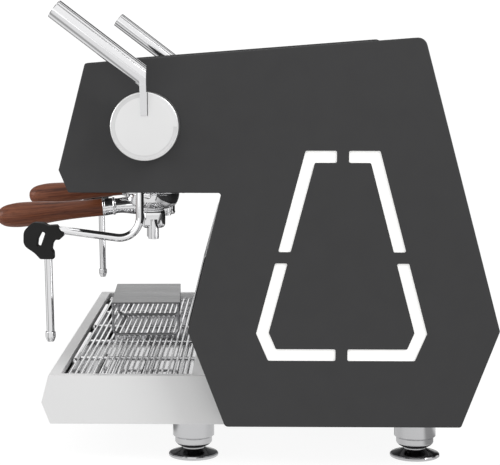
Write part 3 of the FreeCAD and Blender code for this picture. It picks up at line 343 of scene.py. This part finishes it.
def make_materials():
    m = MATERIALS
    m["panel_paint"] = finish("powder_coat_dark", (0.0228, 0.0228, 0.0238), 0.58, bump=(1300.0, 0.00004),
                              tint=(3.0, 0.04))
    m["tray_paint"] = finish("satin_steel_pale", (0.77, 0.77, 0.77), 0.42, metal=0.05, tint=(2.5, 0.02),
                             stretch=(1, 0.02, 1), bump=(1500.0, 0.00001))
    m["stainless"] = finish("brushed_steel_x", (0.66, 0.66, 0.665), 0.27, metal=1.0, stretch=(0.01, 1, 1),
                            bump=(400.0, 0.0000015), rough_spread=(240.0, 0.03), Anisotropic=0.4)
    m["stainless_z"] = finish("brushed_steel_z", (0.66, 0.66, 0.665), 0.27, metal=1.0, stretch=(1, 1, 0.01),
                              bump=(400.0, 0.0000015), rough_spread=(240.0, 0.03), Anisotropic=0.4)
    m["wire"] = finish("polished_wire", (0.93, 0.93, 0.94), 0.09, metal=1.0, bump=(400.0, 0.00001))
    # painted reflection: the sloping tops of the feet's base discs are painted near-black, standing in for
    # the machine's shaded underside that they mirror
    m["foot_steel"] = banded(finish("turned_steel", (0.64, 0.64, 0.65), 0.13, metal=1.0, stretch=(1, 1, 30),
                             bump=(60.0, 0.00001), rough_spread=(40.0, 0.04)),
                             *PAINTED_REFLECTION_DISC_TOP, (0.045, 0.045, 0.047))
    m["stand_steel"] = banded(
        finish("brushed_steel_grey", (0.145, 0.145, 0.15), 0.30, metal=1.0, stretch=(1, 0.01, 1),
               bump=(1300.0, 0.00002), rough_spread=(500.0, 0.08), tint=(40.0, 0.12)),
        -1.0, PLATE_FOOT, (0.34, 0.34, 0.35))
    m["pan"] = finish("pan_steel", (0.55, 0.55, 0.56), 0.05, metal=1.0, stretch=(0.01, 1, 1),
                      bump=(500.0, 0.000004), rough_spread=(400.0, 0.03))
    m["chrome"] = finish("polished_chrome", (0.86, 0.86, 0.87), 0.07, metal=1.0, tint=(6.0, 0.02),
                         rough_spread=(18.0, 0.03), bump=(30.0, 0.00003))
    m["disc"] = finish("turned_aluminium", (0.82, 0.82, 0.82), 0.33, metal=1.0, tint=(6.0, 0.02),
                       bump=(1200.0, 0.00001))
    m["disc_groove"] = finish("blasted_aluminium", (0.73, 0.73, 0.73), 0.50, metal=1.0, tint=(30.0, 0.02),
                              bump=(1500.0, 0.00003))
    m["lever"] = finish("polished_steel", (0.84, 0.84, 0.85), 0.13, metal=1.0, tint=(6.0, 0.02),
                        rough_spread=(20.0, 0.03), bump=(40.0, 0.00002))
    m["grip_rubber"] = finish("moulded_rubber", (0.008, 0.008, 0.008), 0.60, tint=(20.0, 0.15),
                              bump=(1100.0, 0.00006), Specular_IOR_Level=0.3)
    m["gasket_rubber"] = finish("gasket_rubber", (0.02, 0.02, 0.02), 0.6)
    m["diffuser"] = finish("opal_acrylic", (0.93, 0.93, 0.92), 0.3, tint=(8.0, 0.01), bump=(200.0, 0.00001),
                           Emission_Color=(1.0, 0.99, 0.97, 1.0), Emission_Strength=0.35)
    m["black_plastic"] = finish("black_plastic", (0.018, 0.018, 0.019), 0.38, bump=(1500.0, 0.00003))
    m["button_plastic"] = finish("button_metal", (0.72, 0.72, 0.73), 0.24, metal=1.0,
                                 bump=(1500.0, 0.00001))
    m["zinc"] = finish("zinc_plate", (0.50, 0.51, 0.52), 0.40, metal=1.0, tint=(40.0, 0.10),
                       bump=(300.0, 0.00003))
    m["brass"] = finish("brass", (0.70, 0.47, 0.20), 0.30, metal=1.0, tint=(30.0, 0.08))
    m["copper"] = finish("copper", (0.72, 0.36, 0.22), 0.30, metal=1.0, tint=(20.0, 0.12))
    m["motor_paint"] = finish("motor_paint", (0.10, 0.11, 0.12), 0.45, tint=(20.0, 0.06))
    m["needle_paint"] = finish("needle_paint", (0.55, 0.03, 0.02), 0.40)
    m["walnut"] = wood("oiled_walnut")
    m["enamel"] = finish("dial_enamel", (0.86, 0.85, 0.81), 0.35, tint=(60.0, 0.02))
    m["ink"] = finish("printed_ink", (0.015, 0.015, 0.016), 0.5, tint=(60.0, 0.05))
    m["glass"] = finish("gauge_glass", (1.0, 1.0, 1.0), 0.03, tint=(20.0, 0.0), rough_spread=(20.0, 0.01),
                        bump=(60.0, 0.000005), Transmission_Weight=1.0, IOR=1.45)
    m["lamp"] = finish("button_lamp", (0.9, 0.95, 1.0), 0.3, tint=(60.0, 0.02),
                       Emission_Color=(0.85, 0.93, 1.0, 1.0), Emission_Strength=1.5)
    m["marking"] = finish("white_marking", (0.85, 0.85, 0.85), 0.5, tint=(60.0, 0.03))


SLOT_CHANGES = {
    "valve_disc_right": "disc", "valve_disc_left": "disc",
    "steam_lever_right": "lever", "steam_lever_left": "lever",
    "splash_panel": "stainless_z", "drip_pan": "pan", "cup_stand": "stand_steel",
}


def dress_nodes():
    """Gives each CAD node its detailed material, by the slot that its record names."""
    for name, node in NODES.items():
        slot = SLOT_CHANGES.get(name) or node.data.materials[0].name.split(".")[0]
        for i in range(len(node.data.materials)):
            node.data.materials[i] = MATERIALS[slot]


# ---------------------------------------------------------------- mesh tools

def new_piece(name, mesh, material, body, matrix=None, replaced=()):
    """Links a mesh as a piece of the model: its material, its body and what it stands for."""
    piece = bpy.data.objects.new(name, mesh)
    bpy.context.scene.collection.objects.link(piece)
    piece.data.materials.append(MATERIALS[material])
    if matrix is not None:
        piece.matrix_world = matrix
    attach(piece, body)
    if replaced:
        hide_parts(*replaced)
    return piece


def soften(mesh, sharp_degrees=35.0):
    for face in mesh.polygons:
        face.use_smooth = True
    mesh.set_sharp_from_angle(angle=math.radians(sharp_degrees))
    return mesh


def lathe_mesh(name, profile, segments=64, copies=((0.0, 0.0),), ripple=None):
    """Turned shape about Z through (radius, height) points, repeated at each (x, y) of copies.

    ripple(i, r, z) gives the radius of segment i, for knurled bands."""
    bm = bmesh.new()
    for cx, cy in copies:
        rings = []
        for r, z in profile:
            if r == 0:
                rings.append([bm.verts.new((cx, cy, z))])
                continue
            ring = []
            for i in range(segments):
                a = 2 * math.pi * i / segments
                radius = ripple(i, r, z) if ripple else r
                ring.append(bm.verts.new((cx + radius * math.cos(a), cy + radius * math.sin(a), z)))
            rings.append(ring)
        for lower, upper in zip(rings, rings[1:]):
            for i in range(segments):
                j = (i + 1) % segments
                corners = [lower[i % len(lower)], lower[j % len(lower)],
                           upper[j % len(upper)], upper[i % len(upper)]]
                bm.faces.new(list(dict.fromkeys(corners)))
    bmesh.ops.recalc_face_normals(bm, faces=bm.faces)
    mesh = bpy.data.meshes.new(name)
    bm.to_mesh(mesh)
    bm.free()
    return soften(mesh)


def plate_mesh(name, outlines, z0, z1):
    """Flat plate between two heights, one for each closed (x, y) outline."""
    bm = bmesh.new()
    for outline in outlines:
        base = bm.faces.new([bm.verts.new((x, y, z0)) for x, y in outline])
        lifted = bmesh.ops.extrude_face_region(bm, geom=[base])["geom"]
        for vert in lifted:
            if isinstance(vert, bmesh.types.BMVert):
                vert.co.z = z1
    bmesh.ops.recalc_face_normals(bm, faces=bm.faces)
    mesh = bpy.data.meshes.new(name)
    bm.to_mesh(mesh)
    bm.free()
    return mesh


def ring_outline(radius, start=0.0, sweep=360.0, count=32, centre=(0.0, 0.0)):
    steps = range(count if sweep == 360.0 else count + 1)
    angles = [math.radians(start + sweep * i / count) for i in steps]
    return [(centre[0] + radius * math.cos(a), centre[1] + radius * math.sin(a)) for a in angles]


def band_outline(r0, r1, start, sweep, count=32, centre=(0.0, 0.0)):
    outer = ring_outline(r1, start, sweep, count, centre)
    inner = ring_outline(r0, start, sweep, count, centre)
    return outer + inner[::-1]


def bar_outline(angle, r0, r1, width):
    """Narrow bar lying along a radius, at an angle in degrees from +X."""
    a = math.radians(angle)
    c, s = math.cos(a), math.sin(a)
    corners = [(r0, -width / 2), (r1, -width / 2), (r1, width / 2), (r0, width / 2)]
    return [(u * c - v * s, u * s + v * c) for u, v in corners]


def smooth_curve(points, steps=10):
    """Points along a smooth curve through the given (a, b) points."""
    count = len(points)
    result = []
    for i in range(count - 1):
        p0 = points[max(i - 1, 0)]
        p1, p2 = points[i], points[i + 1]
        p3 = points[min(i + 2, count - 1)]
        for k in range(steps):
            t = k / steps
            weights = (
                -0.5 * t + t * t - 0.5 * t ** 3, 1 - 2.5 * t * t + 1.5 * t ** 3,
                0.5 * t + 2 * t * t - 1.5 * t ** 3, -0.5 * t * t + 0.5 * t ** 3,
            )
            near = list(zip(weights, (p0, p1, p2, p3)))
            result.append(tuple(sum(w * p[axis] for w, p in near) for axis in (0, 1)))
    result.append(points[-1])
    return result


CORNER_STEPS = 6


def rounded(corners):
    """Closed outline through (a, b, radius) corners."""
    result = []
    for i, (a, b, radius) in enumerate(corners):
        here = Vector((a, b))
        back = (Vector(corners[i - 1][:2]) - here).normalized()
        ahead = (Vector(corners[(i + 1) % len(corners)][:2]) - here).normalized()
        half = back.angle(ahead) / 2
        reach = radius / math.tan(half)
        first, last = here + back * reach, here + ahead * reach
        centre = here + (back + ahead).normalized() * (radius / math.sin(half))
        for k in range(CORNER_STEPS + 1):
            spoke = (first - centre).lerp(last - centre, k / CORNER_STEPS).normalized() * radius
            result.append(tuple(centre + spoke))
    return result


def frame_of(origin, x_axis, y_axis):
    x = Vector(x_axis).normalized()
    z = x.cross(Vector(y_axis)).normalized()
    y = z.cross(x)
    return Matrix.Translation(origin) @ Matrix((x, y, z)).transposed().to_4x4()


# ---------------------------------------------------------------- handles and grips

SIDES = {"right": 1, "left": -1}
HANDLE_AXIS = Vector((0.1387, -0.9868, -0.0837))
HANDLE_HEIGHT = 0.3179
LOCK_TURN = math.radians(8)
GROUP_PLACE = (0.157, -0.119)
HANDLE_OUTLINE = [         # distance from the group axis, radius
    (0.070, 0.0120), (0.098, 0.0122), (0.126, 0.0132), (0.157, 0.0159), (0.180, 0.0170),
    (0.1925, 0.0163), (0.2020, 0.0146), (0.2085, 0.0117), (0.2128, 0.0075), (0.2143, 0.0035), (0.2147, 0.0),
]
WAND_PLACE = (0.280, -0.128)
WAND_TURN = {"right": 0.0, "left": math.radians(-25)}
GRIP_HALF = 0.009
GRIP_OUTLINE = [           # in the right wand's plane: y, z, corner radius
    (-0.237, 0.2997, 0.002), (-0.248, 0.299, 0.004), (-0.255, 0.3026, 0.008),
    (-0.269, 0.3032, 0.010), (-0.2805, 0.292, 0.012), (-0.281, 0.273, 0.012),
    (-0.266, 0.2625, 0.012), (-0.2587, 0.2547, 0.0012), (-0.2408, 0.2547, 0.0012),
    (-0.2412, 0.264, 0.0015), (-0.2436, 0.2675, 0.0018), (-0.2425, 0.275, 0.006),
    (-0.2386, 0.2806, 0.003), (-0.2335, 0.2802, 0.0012), (-0.2276, 0.2856, 0.0010),
    (-0.2288, 0.2892, 0.0008),
]
GRIP_SLOT = [
    (-0.2564, 0.2913, 0.0015), (-0.2618, 0.281, 0.004), (-0.263, 0.2715, 0.0018),
    (-0.2582, 0.2715, 0.0018), (-0.2518, 0.2898, 0.0018),
]


def handle_frame(side):
    axis = HANDLE_AXIS.normalized()
    origin = Vector((SIDES[side] * GROUP_PLACE[0], GROUP_PLACE[1], HANDLE_HEIGHT))
    across = Vector((0, 0, 1)).cross(axis)
    return frame_of(origin, axis, across)


def along_x(mesh):
    """Turns a mesh built about Z to lie about X."""
    mesh.transform(Matrix(((0, 0, 1, 0), (0, 1, 0, 0), (-1, 0, 0, 0), (0, 0, 0, 1))))
    return mesh


def make_handles():
    outline = smooth_curve(HANDLE_OUTLINE, 8)
    profile = [(0.0, outline[0][0])] + [(max(r, 0.0), x) for x, r in outline]
    for side in SIDES:
        body = f"portafilter_{side}"
        place = handle_frame(side)
        grip = along_x(lathe_mesh("handle", profile, 72))
        grip.transform(place)
        new_piece(f"walnut_handle_{side}", grip, "walnut", body, replaced=[f"portafilter_handle_{side}"])


BOWL_OUTLINE = [
    (0.0, 0.3082), (0.0120, 0.3082), (0.0195, 0.3090), (0.0262, 0.3112), (0.0313, 0.3148),
    (0.0345, 0.3194), (0.0362, 0.3245), (0.0369, 0.3290), (0.0370, 0.3303), (0.0365, 0.3310),
    (0.0345, 0.3310), (0.0345, 0.3424), (0.0341, 0.3428), (0.0314, 0.3428), (0.0310, 0.3424),
    (0.0310, 0.3235), (0.0290, 0.3185), (0.0240, 0.3150), (0.0180, 0.3135), (0.0, 0.3130),
]
NECK_OUTLINE = [
    (0.0, 0.0180), (0.0150, 0.0180), (0.0136, 0.0280), (0.0118, 0.0360), (0.0106, 0.0430),
    (0.0102, 0.0490), (0.0106, 0.0520), (0.0118, 0.0528), (0.0123, 0.0536), (0.0123, 0.0548),
    (0.0117, 0.0556), (0.0113, 0.0564), (0.0115, 0.0580), (0.0121, 0.0650), (0.0123, 0.0672),
    (0.0119, 0.0677), (0.0119, 0.0684), (0.0124, 0.0689), (0.0124, 0.0697), (0.0119, 0.0703),
    (0.0, 0.0703),
]
SPOUT_OUTLINE = [
    (0.0060, 0.2960), (0.0074, 0.2960), (0.0074, 0.2700), (0.0070, 0.2687), (0.0064, 0.2685),
    (0.0060, 0.2690), (0.0060, 0.2960),
]
STUD_OUTLINE = [
    (0.0, 0.3020), (0.0022, 0.3026), (0.0034, 0.3044), (0.0034, 0.3062), (0.0022, 0.3080),
    (0.0018, 0.3086), (0.0018, 0.3190), (0.0, 0.3190),
]


def rounded_block(name, half, z0, z1, radius):
    """Block with every edge rounded."""
    bm = bmesh.new()
    bmesh.ops.create_cube(bm, size=1.0)
    for vert in bm.verts:
        vert.co.x *= half[0] * 2
        vert.co.y *= half[1] * 2
        vert.co.z = z0 if vert.co.z < 0 else z1
    bmesh.ops.bevel(bm, geom=list(bm.edges), offset=radius, segments=6, profile=0.5, affect="EDGES")
    mesh = bpy.data.meshes.new(name)
    bm.to_mesh(mesh)
    bm.free()
    return soften(mesh, 50.0)


def joined(name, meshes):
    bm = bmesh.new()
    for mesh in meshes:
        bm.from_mesh(mesh)
    result = bpy.data.meshes.new(name)
    bm.to_mesh(result)
    bm.free()
    return soften(result)


def make_portafilters():
    """Cast and polished portafilter bodies: bowl with its lugs, neck, spout block and two spouts."""
    for side, sign in SIDES.items():
        place = Matrix.Translation((sign * GROUP_PLACE[0], GROUP_PLACE[1], 0.0))
        place = place @ Matrix.Rotation(LOCK_TURN, 4, "Z")
        neck = along_x(lathe_mesh("neck", NECK_OUTLINE, 64))
        neck.transform(place.inverted() @ handle_frame(side))
        lugs = plate_mesh("lugs", [band_outline(0.0335, 0.0415, a - 20.0, 40.0, 12) for a in (0.0, 180.0)],
                          0.3384, 0.3428)
        body = joined("portafilter", [
            lathe_mesh("bowl", BOWL_OUTLINE, 96), neck, lugs,
            rounded_block("block", (0.0185, 0.0165), 0.2835, 0.3105, 0.0065),
            lathe_mesh("spouts", SPOUT_OUTLINE, 40, ((-0.013, 0.0), (0.013, 0.0))),
            lathe_mesh("stud", STUD_OUTLINE, 24, ((0.004, 0.0275),)),
        ])
        new_piece(f"polished_portafilter_{side}", body, "chrome", f"portafilter_{side}", place,
                  replaced=[f"portafilter_{side}"])


def make_grips():
    """Moulded rubber guards: an extruded outline with its slot, remeshed and smoothed."""
    curve = bpy.data.curves.new("guard", "CURVE")
    curve.dimensions = "2D"
    curve.fill_mode = "BOTH"
    curve.extrude = GRIP_HALF
    for corners in (GRIP_OUTLINE, GRIP_SLOT):
        points = rounded([(y - WAND_PLACE[1], z, r) for y, z, r in corners])
        spline = curve.splines.new("POLY")
        spline.points.add(len(points) - 1)
        for point, (y, z) in zip(spline.points, points):
            point.co = (y, z, 0.0, 1.0)
        spline.use_cyclic_u = True
    source = bpy.data.objects.new("guard", curve)
    bpy.context.scene.collection.objects.link(source)
    remesh = source.modifiers.new("remesh", "REMESH")
    remesh.mode = "VOXEL"
    remesh.voxel_size = 0.0006
    relax = source.modifiers.new("relax", "SMOOTH")
    relax.factor = 0.5
    relax.iterations = 14
    depsgraph = bpy.context.evaluated_depsgraph_get()
    shape = bpy.data.meshes.new_from_object(source.evaluated_get(depsgraph))
    bpy.data.objects.remove(source)
    upright = Matrix(((0, 0, 1, 0), (1, 0, 0, 0), (0, 1, 0, 0), (0, 0, 0, 1)))
    shape.transform(upright)
    for side, sign in SIDES.items():
        mesh = shape.copy()
        mesh.materials.clear()
        place = Matrix.Translation((sign * WAND_PLACE[0], WAND_PLACE[1], 0.0))
        place = place @ Matrix.Rotation(WAND_TURN[side], 4, "Z")
        new_piece(f"finger_guard_{side}", soften(mesh, 80.0), "grip_rubber", f"steam_wand_{side}", place,
                  replaced=[f"wand_grip_{side}"])


DISC_PLACE = (-0.111, 0.437)
GROOVE_FLOOR = (0.4304, 0.4308)


def make_disc_grooves():
    """Matt floor of the C-shaped groove in each valve disc."""
    for side, sign in SIDES.items():
        facing = Matrix(((0, 0, 1, 0), (1, 0, 0, 0), (0, 1, 0, 0), (0, 0, 0, 1)))
        place = Matrix.Translation((0.0, *DISC_PLACE)) @ Matrix.Diagonal((sign, 1, 1, 1)) @ facing
        floor = plate_mesh("groove", [band_outline(0.0356, 0.0399, 90.0, 270.0, 96)], *GROOVE_FLOOR)
        floor.transform(place)
        if sign < 0:
            floor.flip_normals()
        new_piece(f"disc_groove_{side}", floor, "disc_groove", f"steam_lever_{side}")


# ---------------------------------------------------------------- feet, groups and nuts

FOOT_PLACES = [(x, y) for x in (-0.315, 0.315) for y in (-0.056, 0.234)]
FOOT_OUTLINE = [
    (0.0, 0.0), (0.0312, 0.0), (0.0325, 0.0010), (0.0325, 0.0034), (0.0318, 0.0043), (0.0303, 0.0050),
    (0.0262, 0.0062), (0.0210, 0.0080), (0.0168, 0.0098), (0.0144, 0.0112), (0.0144, 0.0122),
    (0.0164, 0.0134), (0.0194, 0.0148), (0.0222, 0.0166), (0.0236, 0.0182), (0.0242, 0.0196),
    (0.0242, 0.0256), (0.0236, 0.0261), (0.0236, 0.0270), (0.0262, 0.0272), (0.0270, 0.0279),
    (0.0270, 0.0500), (0.0262, 0.0508), (0.0050, 0.0509), (0.0050, 0.0598), (0.0, 0.0598),
]
NUT_OUTLINE = [
    (0.0105, 0.3465), (0.0132, 0.3462), (0.0140, 0.3470), (0.0140, 0.3478), (0.0136, 0.3482),
    (0.0136, 0.3486), (0.0141, 0.3490), (0.0141, 0.3524), (0.0136, 0.3528), (0.0136, 0.3540),
]
BELL_OUTLINE = [           # band round the foot of a group, just outside the bell
    (0.0468, 0.3362), (0.0474, 0.3366), (0.0474, 0.3384), (0.0469, 0.3388), (0.0469, 0.3398),
    (0.0474, 0.3402), (0.0474, 0.3424), (0.0468, 0.3428),
]


def make_feet():
    """Levelling feet, in one mesh."""
    feet = soften(lathe_mesh("feet", FOOT_OUTLINE, 72, FOOT_PLACES), 17.0)
    new_piece("turned_feet", feet, "foot_steel", "machine", replaced=["levelling_feet"])


KNURL_DEPTH = 0.0004
KNURL_HEIGHTS = (0.3489, 0.3525)


def make_nuts():
    """Knurled nuts of the steam wands."""
    def knurl(i, r, z):
        return r - KNURL_DEPTH * (i % 2) if KNURL_HEIGHTS[0] < z < KNURL_HEIGHTS[1] else r

    for side, sign in SIDES.items():
        place = Matrix.Translation((sign * WAND_PLACE[0], WAND_PLACE[1], 0.0))
        nut = lathe_mesh("nut", NUT_OUTLINE, 96, ripple=knurl)
        new_piece(f"knurled_nut_{side}", nut, "chrome", "machine", place)


def make_group_trim():
    """Turned band on each group."""
    for side, sign in SIDES.items():
        place = Matrix.Translation((sign * GROUP_PLACE[0], GROUP_PLACE[1], 0.0))
        band = lathe_mesh("band", BELL_OUTLINE, 96)
        new_piece(f"group_band_{side}", band, "chrome", "machine", place)


# ---------------------------------------------------------------- controls

FASCIA_TOP = Vector((0.0, -0.1863, 0.5130))
FASCIA_UP = Vector((0.0, 0.23402, 0.97224))
KEY_DROP = 0.066
KEY_PITCH = 0.032
KEY_TOP = 0.0055
BEZEL_TOP = 0.003
GAUGE_DROP = 0.062
HOT_KEY_DROP = 0.112
SWITCH_X = -0.305
SWITCH_TILT = math.radians(8)
DIAL_FACE = -0.003
DIAL_START, DIAL_SWEEP = 220.0, 260.0      # degrees, clockwise from zero to full scale
DIAL_TICKS = 32
DIAL_NUMBERS = ("0", "4", "8", "12", "16")
NUMBER_RADIUS = 0.0168
NUMBER_SIZE = 0.0052
ZONE = (7 / 16, 11 / 16)   # shares of the scale where brewing pressure lies


def on_fascia(x, drop, height=0.0):
    """Frame on the fascia: X across, Y up its face and Z outward."""
    origin = FASCIA_TOP - FASCIA_UP * drop + Vector((x, 0.0, 0.0))
    place = frame_of(origin, (1, 0, 0), FASCIA_UP)
    return place @ Matrix.Translation((0.0, 0.0, height))


def drop_outline(x, y, size):
    """A drop standing on its round end."""
    lower = ring_outline(size, 160.0, 220.0, 14, (x, y))
    return lower + [(x, y + size * 2.3)]


def key_symbols(kind):
    """Outlines of the sign on a key: one drop, two drops or an open ring with a pause bar."""
    if kind == 1:
        return [drop_outline(0.0, -0.0012, 0.0018)]
    if kind == 2:
        return [drop_outline(-0.0022, -0.0010, 0.0014), drop_outline(0.0022, -0.0010, 0.0014)]
    if kind == 3:
        return [band_outline(0.0027, 0.0035, 120.0, 300.0), bar_outline(90.0, -0.0012, 0.0012, 0.0008)]
    return [drop_outline(0.0, -0.0030, 0.0012)] + [
        band_outline(0.0008, 0.0013, 270.0 * (i % 2), 180.0, 10, (0.0016 * i - 0.0016, 0.0022))
        for i in range(3)
    ]


def make_keys():
    """Cap, sign and lamp ring of each button."""
    keys = [(f"brew_button_{side}_{i + 1}", sign * GROUP_PLACE[0] + (i - 1) * KEY_PITCH, KEY_DROP, i + 1)
            for side, sign in SIDES.items() for i in range(3)]
    keys.append(("hot_water_button", 0.0, HOT_KEY_DROP, 4))
    lamp = [(0.0098, -0.0002), (0.0098, 0.0002), (0.0101, 0.00035), (0.0104, 0.0002), (0.0104, -0.0002)]
    cap = [(0.0, 0.0), (0.0062, 0.0), (0.0066, 0.0004), (0.0072, 0.0006), (0.0076, 0.0003),
           (0.0077, -0.0002)]
    for body, x, drop, kind in keys:
        sign_mesh = plate_mesh("sign", key_symbols(kind), 0.0, 0.00012)
        new_piece(f"{body}_sign", sign_mesh, "ink", body, on_fascia(x, drop, KEY_TOP + 0.0001))
        cap_mesh = lathe_mesh("cap", cap, 48)
        new_piece(f"{body}_cap", cap_mesh, "button_plastic", body, on_fascia(x, drop, KEY_TOP))
        new_piece(f"{body}_lamp", lathe_mesh("lamp", lamp, 48), "lamp", "machine",
                  on_fascia(x, drop, BEZEL_TOP))


def make_gauge():
    """Dial, scale, pressure zone, numbers and domed glass of the boiler gauge."""
    dial = lathe_mesh("dial", [(0.0, 0.0), (0.0262, 0.0), (0.0266, -0.0003)], 96)
    new_piece("gauge_dial", dial, "enamel", "machine", on_fascia(0, GAUGE_DROP, DIAL_FACE + 0.0004))
    ticks = []
    for i in range(DIAL_TICKS + 1):
        angle = DIAL_START - DIAL_SWEEP * i / DIAL_TICKS
        inner, width = (0.0205, 0.0009) if i % 8 == 0 else (0.0222, 0.0004)
        ticks.append(bar_outline(angle, inner, 0.0243, width))
    ticks.append(band_outline(0.0243, 0.0247, DIAL_START - DIAL_SWEEP, DIAL_SWEEP, 64))
    marks = plate_mesh("marks", ticks, 0.0, 0.00008)
    new_piece("gauge_marks", marks, "ink", "machine", on_fascia(0, GAUGE_DROP, DIAL_FACE + 0.00042))
    zone_start = DIAL_START - DIAL_SWEEP * ZONE[1]
    zone_sweep = DIAL_SWEEP * (ZONE[1] - ZONE[0])
    zone = plate_mesh("zone", [band_outline(0.0232, 0.0242, zone_start, zone_sweep, 32)], 0.0, 0.00006)
    new_piece("gauge_zone", zone, "needle_paint", "machine",
              on_fascia(0, GAUGE_DROP, DIAL_FACE + 0.00041))
    for i, number in enumerate(DIAL_NUMBERS):
        angle = math.radians(DIAL_START - DIAL_SWEEP * i / (len(DIAL_NUMBERS) - 1))
        curve = bpy.data.curves.new(f"number_{number}", "FONT")
        curve.body = number
        curve.size = NUMBER_SIZE
        curve.extrude = 0.00003
        curve.align_x = "CENTER"
        curve.align_y = "CENTER"
        spot = Matrix.Translation((NUMBER_RADIUS * math.cos(angle), NUMBER_RADIUS * math.sin(angle), 0.0))
        new_piece(f"gauge_number_{number}", curve, "ink", "machine",
                  on_fascia(0, GAUGE_DROP, DIAL_FACE + 0.00045) @ spot)
    dome = [(0.0, 0.0), (0.0269, 0.0), (0.0269, 0.0004), (0.020, 0.0011), (0.010, 0.0015), (0.0, 0.0016)]
    glass = lathe_mesh("glass", dome, 96)
    new_piece("gauge_glass", glass, "glass", "machine", on_fascia(0, GAUGE_DROP, 0.0018))


def make_switch_marks():
    """On and off marks of the rocker switch."""
    place = on_fascia(SWITCH_X, KEY_DROP) @ Matrix.Rotation(SWITCH_TILT, 4, "X")
    bar = plate_mesh("bar", [bar_outline(90.0, 0.0065, 0.0105, 0.0012)], 0.0021, 0.0031)
    new_piece("switch_on_mark", bar, "marking", "power_switch", place)
    ring = lathe_mesh("ring", [(0.0013, 0.0021), (0.0013, 0.0031), (0.0022, 0.0031), (0.0022, 0.0021)], 32,
                      ((0.0, -0.0090),))
    new_piece("switch_off_mark", ring, "marking", "power_switch", place)


def make_screws():
    """Button-head screws with a hexagon socket at the fascia's corners."""
    head = [(0.0, 0.0009), (0.0014, 0.0009), (0.0017, 0.0019), (0.0026, 0.0017), (0.0034, 0.0009),
            (0.0036, 0.0)]

    def hexed(i, r, z):
        if r > 0.0018:
            return r
        return r / math.cos(math.radians((i * 5.0) % 60.0 - 30.0)) * 0.95

    for i, (x, drop) in enumerate([(x, drop) for x in (-0.34, 0.34) for drop in (0.016, 0.118)]):
        new_piece(f"fascia_screw_{i + 1}", lathe_mesh("screw", head, 72, ripple=hexed), "zinc", "machine",
                  on_fascia(x, drop))


# ---------------------------------------------------------------- edges of the sheet parts

ROUNDED_NODES = {"drip_tray_frame": 0.0009, "cup_stand": 0.0005}


def round_edges():
    """Rounds the sharp corners of sheet parts, which catch the light on the real thing."""
    for name, width in ROUNDED_NODES.items():
        node = NODES[name]
        weld = node.modifiers.new("weld", "WELD")
        weld.merge_threshold = 0.00001
        flat = node.modifiers.new("flat", "DECIMATE")
        flat.decimate_type = "DISSOLVE"
        flat.angle_limit = math.radians(1.0)
        bevel = node.modifiers.new("bevel", "BEVEL")
        bevel.width = width
        bevel.segments = 3
        bevel.limit_method = "ANGLE"
        bevel.angle_limit = math.radians(40)
        bevel.harden_normals = True
        bevel.use_clamp_overlap = True


# ---------------------------------------------------------------- making it all

bpy.context.scene.view_settings.view_transform = "Standard"
make_camera()
make_world()
make_materials()
make_floor()
for light_name, (place, target, size, power) in LIGHTS.items():
    area_light(light_name, place, target, size, power)
dress_nodes()
make_handles()
make_portafilters()
make_grips()
make_disc_grooves()
make_feet()
make_nuts()
make_group_trim()
make_keys()
make_gauge()
make_switch_marks()
make_screws()
round_edges()
